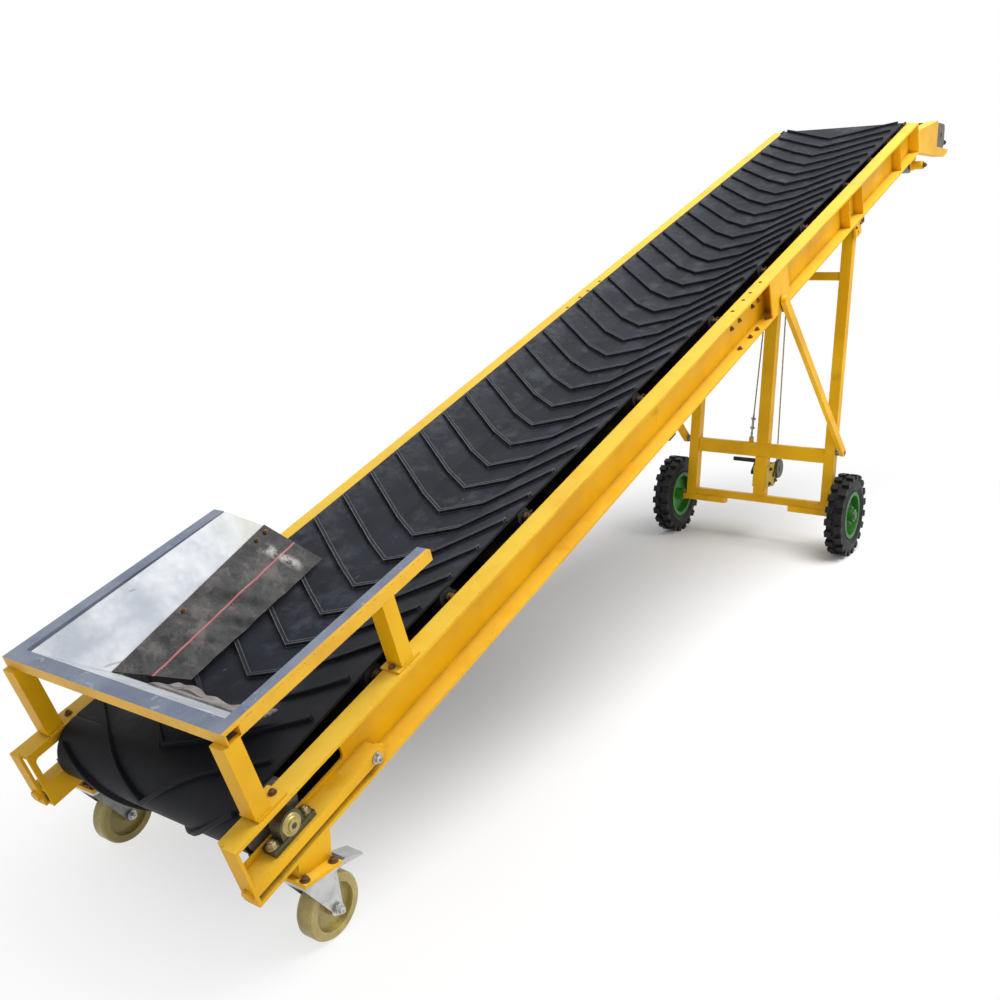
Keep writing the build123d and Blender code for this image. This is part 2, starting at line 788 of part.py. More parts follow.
# Feed table: square tube rails and posts on bolted feet
TABLE_DROP = math.degrees(math.atan2(TABLE_H[0] - TABLE_H[1], TABLE_REAR - TABLE_FRONT))
TABLE_L = math.hypot(TABLE_H[0] - TABLE_H[1], TABLE_REAR - TABLE_FRONT)
table_corner = to_ground((TABLE_FRONT, TABLE_H[0]))
TABLE = tilted(table_corner[0], table_corner[1], SLOPE - TABLE_DROP)
RAIL_Y = TABLE_Y - RAIL_W / 2


def rail_low(s):
    """Height on the boom of the rails' underside."""
    t = (s - TABLE_FRONT) / (TABLE_REAR - TABLE_FRONT)
    return TABLE_H[0] + t * (TABLE_H[1] - TABLE_H[0]) - RAIL_H / math.cos(math.radians(TABLE_DROP))


with BuildPart() as table_front_rail:
    with BuildSketch(along(TABLE, TABLE_Y)) as front_section:
        with Locations((RAIL_W / 2, -RAIL_H / 2)):
            Rectangle(RAIL_W, RAIL_H)
            Rectangle(RAIL_W - 2 * RAIL_T, RAIL_H - 2 * RAIL_T, mode=Mode.SUBTRACT)
    extrude(amount=2 * TABLE_Y)
save(table_front_rail.part, "table_front_rail")

with BuildPart(TABLE) as table_side_rails:
    for side in BOTH:
        with Locations(((RAIL_W + TABLE_L) / 2, side * RAIL_Y, -RAIL_H / 2)):
            Box(TABLE_L - RAIL_W, RAIL_W, RAIL_H)
save(table_side_rails.part, "table_side_rails")

POST_FOOT_Y = (331, 389)
with BuildPart() as table_posts:
    for middle, base_start, base_end in POSTS:
        low = CHANNEL_H + POST_BASE_T
        start = middle - POST_SIZE / 2
        end = middle + POST_SIZE / 2
        for side in BOTH:
            post_y = (TABLE_Y - POST_SIZE, TABLE_Y)
            with BuildSketch(along(BOOM, outer(side, *post_y))) as post_side:
                with BuildLine() as post_line:
                    Polyline(closed([
                        (start, low),
                        (end, low),
                        (end, rail_low(end)),
                        (start, rail_low(start)),
                    ]))
                make_face()
            extrude(amount=POST_SIZE)
            with BuildSketch(along(BOOM, outer(side, *POST_FOOT_Y))) as post_base:
                with Locations(((base_start + base_end) / 2, CHANNEL_H + POST_BASE_T / 2)):
                    Rectangle(base_end - base_start, POST_BASE_T)
            extrude(amount=POST_FOOT_Y[1] - POST_FOOT_Y[0])
save(table_posts.part, "table_posts")

# Chute inside the table: a left sheet, a front sheet, a rubber skirt and a flap
SHEET_T = 2
STRIP_T = 5
# Edges of the left pieces on the boom as (distance, Y, height), from the upper corner down
SHEET_EDGES = (
    ((129, 343.5, 385), (247, 223, 250)),
    ((779, 343.5, 373), (855, 270, 280)),
)
STRIP_EDGES = (
    ((233, 233, 270), (351, 119, 178)),
    ((842, 279, 300.5), (903, 164, 161)),
)


def skin(edges, thickness):
    """Sheet ruled between two edges on the boom, with its thickness on the outside."""
    with BuildPart() as sheet:
        for edge in edges:
            upper, lower = [BOOM.from_local_coords(corner) for corner in edge]
            run = lower - upper
            facing = run.cross(BOOM.x_dir).cross(run)
            with BuildSketch(Plane(origin=upper, x_dir=run, z_dir=facing)) as edge_face:
                with Locations((run.length / 2, thickness / 2)):
                    Rectangle(run.length, thickness)
        loft(ruled=True)
    return sheet.part


with BuildPart() as left_sheet:
    add(skin(SHEET_EDGES, SHEET_T))
save(left_sheet.part, "left_sheet")

with BuildPart() as skirt_strip:
    add(skin(STRIP_EDGES, STRIP_T))
save(skirt_strip.part, "skirt_strip")


def facing_plane(top, bottom):
    """Plane across the boom through two side-view places, facing up; local Y climbs."""
    start = BOOM.from_local_coords((top[0], 0, top[1]))
    end = BOOM.from_local_coords((bottom[0], 0, bottom[1]))
    across_y = Vector(0, 1, 0)
    return Plane(origin=start, x_dir=across_y, z_dir=(end - start).cross(across_y))


# Upper and lower edges as (distance, height)
FRONT_EDGES = ((129, 385), (247, 250))
FRONT_HALF = (342, 221.5)
with BuildPart() as front_sheet:
    with BuildSketch(facing_plane(*FRONT_EDGES)) as front_face:
        with BuildLine() as front_line:
            fall = -math.dist(*FRONT_EDGES)
            Polyline(closed([
                (-FRONT_HALF[0], 0),
                (FRONT_HALF[0], 0),
                (FRONT_HALF[1], fall),
                (-FRONT_HALF[1], fall),
            ]))
        make_face()
    extrude(amount=-SHEET_T)
save(front_sheet.part, "front_sheet")

FLAP_EDGES = ((238, 260.9), (310, 190))
FLAP_Y = (-215, 105)
with BuildPart() as front_flap:
    with BuildSketch(facing_plane(*FLAP_EDGES)) as flap_face:
        with Locations((sum(FLAP_Y) / 2, -math.dist(*FLAP_EDGES) / 2)):
            Rectangle(FLAP_Y[1] - FLAP_Y[0], math.dist(*FLAP_EDGES))
    extrude(amount=STRIP_T)
save(front_flap.part, "front_flap")

# Castor mounts: hollow wedges that level the castor plates under the slope
WEDGE_X = (106, 206)
WEDGE_Y = (341, 397)
WEDGE_WALL = 6
MOUNT_Y = (CASTOR_Y - CASTOR_PLATE[1] / 2, CASTOR_Y + CASTOR_PLATE[1] / 2)
MOUNT_TOP = CASTOR_TOP + MOUNT_T


def wedge(x_low, x_high):
    """Side outline of the wedge between the mount plate and the boom's underside."""
    rate = math.tan(math.radians(SLOPE))
    return closed([
        (x_low, MOUNT_TOP),
        (x_high, MOUNT_TOP),
        (x_high, TAIL_Z + x_high * rate),
        (x_low, TAIL_Z + x_low * rate),
    ])


with BuildPart() as castor_mounts:
    for side in BOTH:
        with BuildSketch(along(GROUND, outer(side, *MOUNT_Y))) as mount_plate:
            with Locations((CASTOR_X, CASTOR_TOP + MOUNT_T / 2)):
                Rectangle(CASTOR_PLATE[0], MOUNT_T)
        extrude(amount=CASTOR_PLATE[1])
        with BuildSketch(along(GROUND, outer(side, *WEDGE_Y))) as wedge_side:
            with BuildLine() as wedge_line:
                Polyline(wedge(*WEDGE_X))
            make_face()
        extrude(amount=WEDGE_Y[1] - WEDGE_Y[0])
        inner = (WEDGE_Y[0] + WEDGE_WALL, WEDGE_Y[1] - WEDGE_WALL)
        with BuildSketch(along(GROUND, outer(side, *inner))) as wedge_inside:
            with BuildLine() as inside_line:
                Polyline(wedge(WEDGE_X[0] + WEDGE_WALL, WEDGE_X[1] - WEDGE_WALL))
            make_face()
        extrude(amount=inner[1] - inner[0], mode=Mode.SUBTRACT)
save(castor_mounts.part, "castor_mounts")

with BuildPart(GROUND) as castor_plates:
    for side in BOTH:
        with Locations((CASTOR_X, side * CASTOR_Y, CASTOR_TOP - CASTOR_PLATE_T / 2)):
            Box(CASTOR_PLATE[0], CASTOR_PLATE[1], CASTOR_PLATE_T)
save(castor_plates.part, "castor_plates")

CASTOR_AXLE = CASTOR_X + CASTOR_TRAIL
RACE_H = 14
RACE_R = 37
CROWN_T = 5
RACE_TOP = CASTOR_TOP - CASTOR_PLATE_T - FIT
CROWN_TOP = RACE_TOP - RACE_H
CROWN_LOW = CROWN_TOP - CROWN_T
FORK_T = 4
FORK_IN = CASTOR_W / 2 + 3
CASTOR_AXLE_R = 6
CASTOR_HUB_R = 20
CASTOR_WEB = 16
CASTOR_TREAD = 22


def castor(side, name):
    """Swivel fork with its brake pedal, and the wheel."""
    y = side * CASTOR_Y
    half = FORK_IN + FORK_T
    with BuildPart(GROUND) as fork:
        with Locations((CASTOR_X, y, RACE_TOP - RACE_H / 2)):
            Cylinder(RACE_R, RACE_H)
        with BuildSketch(along(GROUND, y + half)) as crown:
            with Locations((CASTOR_X + 12, CROWN_TOP - CROWN_T / 2)):
                Rectangle(100, CROWN_T)
        extrude(amount=2 * half)
        for start in (y + half, y - FORK_IN):
            with BuildSketch(along(GROUND, start)) as fork_leg:
                with BuildLine() as fork_line:
                    Polyline(closed([
                        (CASTOR_X - 38, CROWN_LOW),
                        (CASTOR_X + 62, CROWN_LOW),
                        (CASTOR_AXLE + 18, CASTOR_R),
                        (CASTOR_AXLE - 18, CASTOR_R),
                    ]))
                make_face()
                with Locations((CASTOR_AXLE, CASTOR_R)):
                    Circle(18)
            extrude(amount=FORK_T)
        with BuildSketch(along(GROUND, y + half + 5)) as fork_axle:
            with Locations((CASTOR_AXLE, CASTOR_R)):
                Circle(CASTOR_AXLE_R)
        extrude(amount=2 * half + 10)
        with BuildSketch(along(GROUND, y + 25)) as pedal:
            with BuildLine() as pedal_line:
                Polyline(closed([
                    (CASTOR_X + 50, CROWN_LOW),
                    (CASTOR_X + 94, 170),
                    (CASTOR_X + 155, 163),
                    (CASTOR_X + 155, 169),
                    (CASTOR_X + 98, 184),
                    (CASTOR_X + 50, CROWN_TOP),
                ]))
            make_face()
        extrude(amount=50)
    save(fork.part, "castor_fork_" + name)
    centre = GROUND.from_local_coords((CASTOR_AXLE, y, CASTOR_R))
    with BuildPart() as wheel:
        with BuildSketch(Plane(origin=centre, x_dir=(0, 1, 0), z_dir=(1, 0, 0))) as wheel_section:
            with BuildLine() as wheel_line:
                bore = CASTOR_AXLE_R + PIN_GAP
                edge = CASTOR_W / 2
                Polyline(closed([
                    (-edge, bore),
                    (edge, bore),
                    (edge, CASTOR_HUB_R),
                    (CASTOR_WEB / 2, CASTOR_HUB_R),
                    (CASTOR_WEB / 2, CASTOR_R - CASTOR_TREAD),
                    (edge, CASTOR_R - CASTOR_TREAD),
                    (edge, CASTOR_R - 4),
                    (edge - 6, CASTOR_R),
                    (6 - edge, CASTOR_R),
                    (-edge, CASTOR_R - 4),
                    (-edge, CASTOR_R - CASTOR_TREAD),
                    (-CASTOR_WEB / 2, CASTOR_R - CASTOR_TREAD),
                    (-CASTOR_WEB / 2, CASTOR_HUB_R),
                    (-edge, CASTOR_HUB_R),
                ]))
            make_face()
        revolve(axis=Axis(centre, (0, 1, 0)))
    save(wheel.part, "castor_wheel_" + name)


castor(1, "left")
castor(-1, "right")

# Undercarriage: leaning ladder frame hinged under the boom
LEAN = math.radians(LEG_LEAN)
LEG = Plane(
    origin=(TAIL_X + WHEEL_X, 0, TYRE_R),
    x_dir=(math.cos(LEAN), 0, -math.sin(LEAN)),
    z_dir=(math.sin(LEAN), 0, math.cos(LEAN)),
)
POST_OUT = POST_Y + LEG_SIZE / 2
POST_IN = POST_Y - LEG_SIZE / 2
HINGE_PLATE_Y = (386, 396)
HINGE_PLATE = (90, 62)
BAR_DEPTH = 40

with BuildPart(LEG) as leg_posts:
    for side in BOTH:
        with Locations((0, side * POST_Y, (LOW_BAR[0] + HINGE_UP) / 2)):
            Box(LEG_SIZE, LEG_SIZE, HINGE_UP - LOW_BAR[0])
        with BuildSketch(along(LEG, outer(side, POST_IN, POST_OUT))) as post_head:
            with Locations((0, HINGE_UP)):
                Circle(LEG_SIZE / 2)
        extrude(amount=LEG_SIZE)
        pin = (POST_OUT, HINGE_PLATE_Y[1] + 5)
        with BuildSketch(along(LEG, outer(side, *pin))) as hinge_pin:
            with Locations((0, HINGE_UP)):
                Circle(PIN_R)
        extrude(amount=pin[1] - pin[0])
save(leg_posts.part, "leg_posts")

with BuildPart(LEG) as leg_bars:
    for low, high in (LOW_BAR, MID_BAR, TOP_BAR):
        with Locations((0, 0, (low + high) / 2)):
            Box(BAR_DEPTH, 2 * POST_IN, high - low)
save(leg_bars.part, "leg_bars")

with BuildPart(LEG) as leg_mid_post:
    for low, high in ((LOW_BAR[1], MID_BAR[0]), (MID_BAR[1], TOP_BAR[0])):
        with Locations((0, MID_POST_Y, (low + high) / 2)):
            Box(LEG_SIZE, MID_POST_W, high - low)
save(leg_mid_post.part, "leg_mid_post")

# Stub axles: blocks under the ladder's foot that end in the wheel spindles
BLOCK_IN = 170
BLOCK_OUT = 400
BLOCK_LOW = -18
SPINDLE_END = WHEEL_Y + 52
with BuildPart(LEG) as stub_axles:
    for side in BOTH:
        with Locations((0, side * (BLOCK_IN + BLOCK_OUT) / 2, (BLOCK_LOW + LOW_BAR[0]) / 2)):
            Box(LEG_SIZE, BLOCK_OUT - BLOCK_IN, LOW_BAR[0] - BLOCK_LOW)
        with BuildSketch(along(LEG, outer(side, BLOCK_OUT, SPINDLE_END))) as spindle:
            with Locations((0, 0)):
                Circle(AXLE_R)
        extrude(amount=SPINDLE_END - BLOCK_OUT)
save(stub_axles.part, "stub_axles")

hinge_place = BOOM.to_local_coords(LEG.from_local_coords((0, 0, HINGE_UP)))
with BuildPart() as leg_hinges:
    for side in BOTH:
        with BuildSketch(along(BOOM, outer(side, *HINGE_PLATE_Y))) as hinge_plate:
            with Locations((hinge_place.X, -HINGE_PLATE[1] / 2)):
                Rectangle(*HINGE_PLATE)
            with Locations((hinge_place.X, hinge_place.Z)):
                Circle(PIN_R + PIN_GAP, mode=Mode.SUBTRACT)
        extrude(amount=HINGE_PLATE_Y[1] - HINGE_PLATE_Y[0])
save(leg_hinges.part, "leg_hinges")

# Braces from the ladder's middle up to slides beside the channels
brace_low = BOOM.to_local_coords(LEG.from_local_coords((0, 0, BRACE_PIVOT)))
brace_ds = brace_low.X - BRACE_SLIDE[0]
brace_dh = brace_low.Z - BRACE_SLIDE[1]
BRACE_L = math.hypot(brace_ds, brace_dh)
BRACE_TILT = math.degrees(math.atan2(brace_dh, brace_ds))
BRACE_IN = BRACE_Y - BRACE_T / 2
BRACE_OUT = BRACE_Y + BRACE_T / 2

with BuildPart() as braces:
    for side in BOTH:
        with BuildSketch(along(BOOM, outer(side, BRACE_IN, BRACE_OUT))) as brace_side:
            with Locations(Location((BRACE_SLIDE[0], BRACE_SLIDE[1], 0), (0, 0, BRACE_TILT))):
                with Locations((BRACE_L / 2, 0)):
                    SlotCenterToCenter(BRACE_L, BRACE_W)
            with Locations((brace_low.X, brace_low.Z)):
                Circle(PIN_R + PIN_GAP, mode=Mode.SUBTRACT)
        extrude(amount=BRACE_T)
save(braces.part, "braces")

SPACER_R = 18
with BuildPart() as brace_pins:
    for side in BOTH:
        with BuildSketch(along(LEG, outer(side, POST_OUT, BRACE_OUT + 4))) as pin_face:
            with Locations((0, BRACE_PIVOT)):
                Circle(PIN_R)
        extrude(amount=BRACE_OUT + 4 - POST_OUT)
        with BuildSketch(along(LEG, outer(side, POST_OUT, BRACE_IN - FIT))) as spacer_face:
            with Locations((0, BRACE_PIVOT)):
                RegularPolygon(SPACER_R, 12)
        extrude(amount=BRACE_IN - FIT - POST_OUT)
save(brace_pins.part, "brace_pins")

# Pads between the flanges that the braces' slides run past
SLIDE_PAD = (3000, 3200)
with BuildPart(BOOM) as slide_pads:
    for side in BOTH:
        with Locations((sum(SLIDE_PAD) / 2, side * (FLANGE_EDGE - 4), CHANNEL_H / 2)):
            Box(SLIDE_PAD[1] - SLIDE_PAD[0], 6, INNER_H)
save(slide_pads.part, "slide_pads")

# Road wheels: tyre with two rows of block lugs on a dished steel rim
LUG_COUNT = 20
LUG_L = 30
LUG_W = 34
LUG_Y = 24
LUG_SEAT = 178
TREAD_R = 184
RIM_W = 72
RIM_T = 6
HUB_R = 30
HUB_HALF = 45


def road_wheel(side, name):
    """Tyre and rim that turn on the stub axle."""
    centre = Vector(TAIL_X + WHEEL_X, side * WHEEL_Y, TYRE_R)
    section = Plane(origin=centre, x_dir=(0, side, 0), z_dir=(side, 0, 0))
    axis = Axis(centre, (0, 1, 0))
    half = TYRE_W / 2
    rim_half = RIM_W / 2
    with BuildPart() as tyre:
        with BuildSketch(section) as tyre_section:
            with BuildLine() as tyre_line:
                bead = rim_half - RIM_T - FIT
                Polyline(closed([
                    (-bead, BEAD_R),
                    (bead, BEAD_R),
                    (bead, FLANGE_R),
                    (half, (BEAD_R + TREAD_R) / 2),
                    (half - 8, TREAD_R),
                    (8 - half, TREAD_R),
                    (-half, (BEAD_R + TREAD_R) / 2),
                    (-bead, FLANGE_R),
                ]))
            make_face()
        revolve(axis=axis)
        for index in range(LUG_COUNT):
            for row in BOTH:
                turn = math.radians((index + (1 - row) / 4) * 360 / LUG_COUNT - 90)
                radial = Vector(math.cos(turn), 0, math.sin(turn))
                seat = Plane(origin=centre + radial * LUG_SEAT, x_dir=(0, 1, 0), z_dir=radial)
                with BuildSketch(seat) as lug_face:
                    with Locations((row * LUG_Y, 0)):
                        Rectangle(LUG_W, LUG_L)
        extrude(amount=TYRE_R - LUG_SEAT)
    save(tyre.part, "tyre_" + name)
    with BuildPart() as rim:
        with BuildSketch(section) as rim_section:
            with BuildLine() as rim_line:
                bore = AXLE_R + PIN_GAP
                wall = BEAD_R - RIM_T
                Polyline(closed([
                    (-HUB_HALF, bore),
                    (HUB_HALF, bore),
                    (HUB_HALF, HUB_R),
                    (RIM_T, HUB_R),
                    (RIM_T, wall),
                    (rim_half, wall),
                    (rim_half, FLANGE_R),
                    (rim_half - RIM_T, FLANGE_R),
                    (rim_half - RIM_T, BEAD_R - FIT),
                    (RIM_T - rim_half, BEAD_R - FIT),
                    (RIM_T - rim_half, FLANGE_R),
                    (-rim_half, FLANGE_R),
                    (-rim_half, wall),
                    (-RIM_T, wall),
                    (-RIM_T, HUB_R),
                    (-HUB_HALF, HUB_R),
                ]))
            make_face()
        revolve(axis=axis)
    save(rim.part, "rim_" + name)


road_wheel(1, "left")
road_wheel(-1, "right")

# Hand winch behind the middle post, and the bracket that holds the rope's end
WINCH_T = 6
WINCH_Y = (MID_POST_Y - MID_POST_W / 2, MID_POST_Y + MID_POST_W / 2)
DRUM_AXIS = (125, 176)
DRUM_R = 24
DRUM_CHEEK_R = 38
GEAR_R = 47
GEAR_T = 14
DRUM_SHAFT_R = 9
CRANK_AXIS = (72, 150)
CRANK_SHAFT_R = 8
GRIP_AXIS = (125, 204)
CRANK_Y = (60, 68)
GRIP_END = 190
WINCH_SIDE = (
    (-25, 88),
    (90, 88),
    (152, 140),
    (152, 198),
    (90, 205),
    (-25, 195),
)

with BuildPart() as winch_frame:
    for start in (WINCH_Y[0], WINCH_Y[1] + WINCH_T):
        with BuildSketch(along(LEG, start)) as winch_side:
            with BuildLine() as winch_line:
                Polyline(closed(WINCH_SIDE))
            make_face()
            with Locations(DRUM_AXIS):
                Circle(DRUM_SHAFT_R + FIT, mode=Mode.SUBTRACT)
            with Locations(CRANK_AXIS):
                Circle(CRANK_SHAFT_R + FIT, mode=Mode.SUBTRACT)
        extrude(amount=WINCH_T)
    with BuildSketch(along(LEG, WINCH_Y[1])) as winch_foot:
        with Locations((57, WINCH_SIDE[0][1] + WINCH_T / 2)):
            Rectangle(64, WINCH_T)
    extrude(amount=MID_POST_W)
save(winch_frame.part, "winch_frame")

with BuildPart() as winch_drum:
    with BuildSketch(along(LEG, WINCH_Y[1] - FIT)) as drum_core:
        with Locations(DRUM_AXIS):
            Circle(DRUM_R)
    extrude(amount=MID_POST_W - 2 * FIT)
    for start in (WINCH_Y[1] - FIT, WINCH_Y[0] + FIT + 4):
        with BuildSketch(along(LEG, start)) as cheek_face:
            with Locations(DRUM_AXIS):
                RegularPolygon(DRUM_CHEEK_R, 24)
        extrude(amount=4)
    with BuildSketch(along(LEG, WINCH_Y[1] + WINCH_T + 6)) as drum_shaft:
        with Locations(DRUM_AXIS):
            Circle(DRUM_SHAFT_R)
    extrude(amount=MID_POST_W + 2 * WINCH_T + 6 + FIT + GEAR_T)
    with BuildSketch(along(LEG, WINCH_Y[0] - WINCH_T - FIT)) as gear_face:
        with Locations(DRUM_AXIS):
            Circle(GEAR_R)
    extrude(amount=GEAR_T)
save(winch_drum.part, "winch_drum")

with BuildPart() as winch_handle:
    with BuildSketch(along(LEG, CRANK_Y[1])) as crank_shaft:
        with Locations(CRANK_AXIS):
            Circle(CRANK_SHAFT_R)
    extrude(amount=CRANK_Y[1] - WINCH_Y[0] + WINCH_T)
    arm_dx = GRIP_AXIS[0] - CRANK_AXIS[0]
    arm_dz = GRIP_AXIS[1] - CRANK_AXIS[1]
    arm_tilt = math.degrees(math.atan2(arm_dz, arm_dx))
    with BuildSketch(along(LEG, CRANK_Y[1])) as crank_arm:
        with Locations(Location((CRANK_AXIS[0], CRANK_AXIS[1], 0), (0, 0, arm_tilt))):
            with Locations((math.hypot(arm_dx, arm_dz) / 2, 0)):
                SlotCenterToCenter(math.hypot(arm_dx, arm_dz), 26)
    extrude(amount=CRANK_Y[1] - CRANK_Y[0])
    with BuildSketch(along(LEG, GRIP_END)) as grip:
        with Locations(GRIP_AXIS):
            Circle(11)
    extrude(amount=GRIP_END - CRANK_Y[1])
save(winch_handle.part, "winch_handle")

ROPE_ANCHOR_Y = 55
with BuildPart(LEG) as rope_anchor:
    with Locations((0, ROPE_ANCHOR_Y, MID_BAR[1] + 14)):
        Box(24, 16, 28)
save(rope_anchor.part, "rope_anchor")
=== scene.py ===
"""Looks of the portable belt conveyor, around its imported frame. Lengths in metres."""
import json
import math

import bmesh
import bpy
from mathutils import Matrix, Vector
from mathutils.bvhtree import BVHTree


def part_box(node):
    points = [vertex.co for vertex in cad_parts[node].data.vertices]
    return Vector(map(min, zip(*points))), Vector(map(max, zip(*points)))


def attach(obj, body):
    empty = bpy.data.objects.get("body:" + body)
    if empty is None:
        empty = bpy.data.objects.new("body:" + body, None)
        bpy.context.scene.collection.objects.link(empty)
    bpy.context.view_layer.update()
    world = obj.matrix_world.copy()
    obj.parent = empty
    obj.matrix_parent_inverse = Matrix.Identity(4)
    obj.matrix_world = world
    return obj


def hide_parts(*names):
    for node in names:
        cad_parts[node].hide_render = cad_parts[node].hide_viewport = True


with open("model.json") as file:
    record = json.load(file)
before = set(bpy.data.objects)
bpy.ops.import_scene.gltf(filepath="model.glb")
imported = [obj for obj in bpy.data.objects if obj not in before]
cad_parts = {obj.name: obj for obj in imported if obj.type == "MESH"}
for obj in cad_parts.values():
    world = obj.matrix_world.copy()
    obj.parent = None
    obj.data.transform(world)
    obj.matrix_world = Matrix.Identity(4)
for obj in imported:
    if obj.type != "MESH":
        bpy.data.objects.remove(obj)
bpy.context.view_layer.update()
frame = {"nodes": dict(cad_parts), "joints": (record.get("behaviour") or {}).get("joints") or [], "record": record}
NODES = frame["nodes"]
JOINTS = {joint["name"]: joint for joint in frame["joints"]}

UP = Vector((0, 0, 1))
LEFT = Vector((0, 1, 0))
RIGHT = Vector((0, -1, 0))
BOTH = (1, -1)
NAMED_SIDES = (("left", 1), ("right", -1))

# The boom: its slope, where its channels' underside starts, and places across a channel
SLOPE = math.radians(19.47)
SWIVEL_X = 0.151
TAIL_X = JOINTS["castor_left_swivel"]["pos_m"][0] - SWIVEL_X
TAIL_Z = 0.2075
CHANNEL_H = 0.163
FLANGE_EDGE = 0.397
FLANGE_BOLT_Y = 0.360
WEB_FACE = 0.344
UP_SLOPE = Vector((math.cos(SLOPE), 0, math.sin(SLOPE)))
OFF_SLOPE = Vector((-math.sin(SLOPE), 0, math.cos(SLOPE)))

# The undercarriage: the left wheel's centre and how far the ladder leans
WHEEL = Vector(JOINTS["wheel_left_spin"]["pos_m"])
LEG_LEAN = math.radians(5.5)

# Fasteners stand this deep in the face that they sit on
SEATED = 0.0005


def boom(s, y, h):
    """Place on the boom: distance up the slope, Y, and height above the channels' underside."""
    x = TAIL_X + s * math.cos(SLOPE) - h * math.sin(SLOPE)
    return Vector((x, y, TAIL_Z + s * math.sin(SLOPE) + h * math.cos(SLOPE)))


def to_boom(point):
    """Distance up the slope, Y and height of a place on the boom."""
    off = point - Vector((TAIL_X, 0, TAIL_Z))
    return off.dot(UP_SLOPE), off.y, off.dot(OFF_SLOPE)


def ladder(x, y, up):
    """Place on the undercarriage: ahead of its axle, Y, and distance up the ladder."""
    ahead = x * math.cos(LEG_LEAN) + up * math.sin(LEG_LEAN)
    return Vector((WHEEL.x + ahead, y, WHEEL.z - x * math.sin(LEG_LEAN) + up * math.cos(LEG_LEAN)))


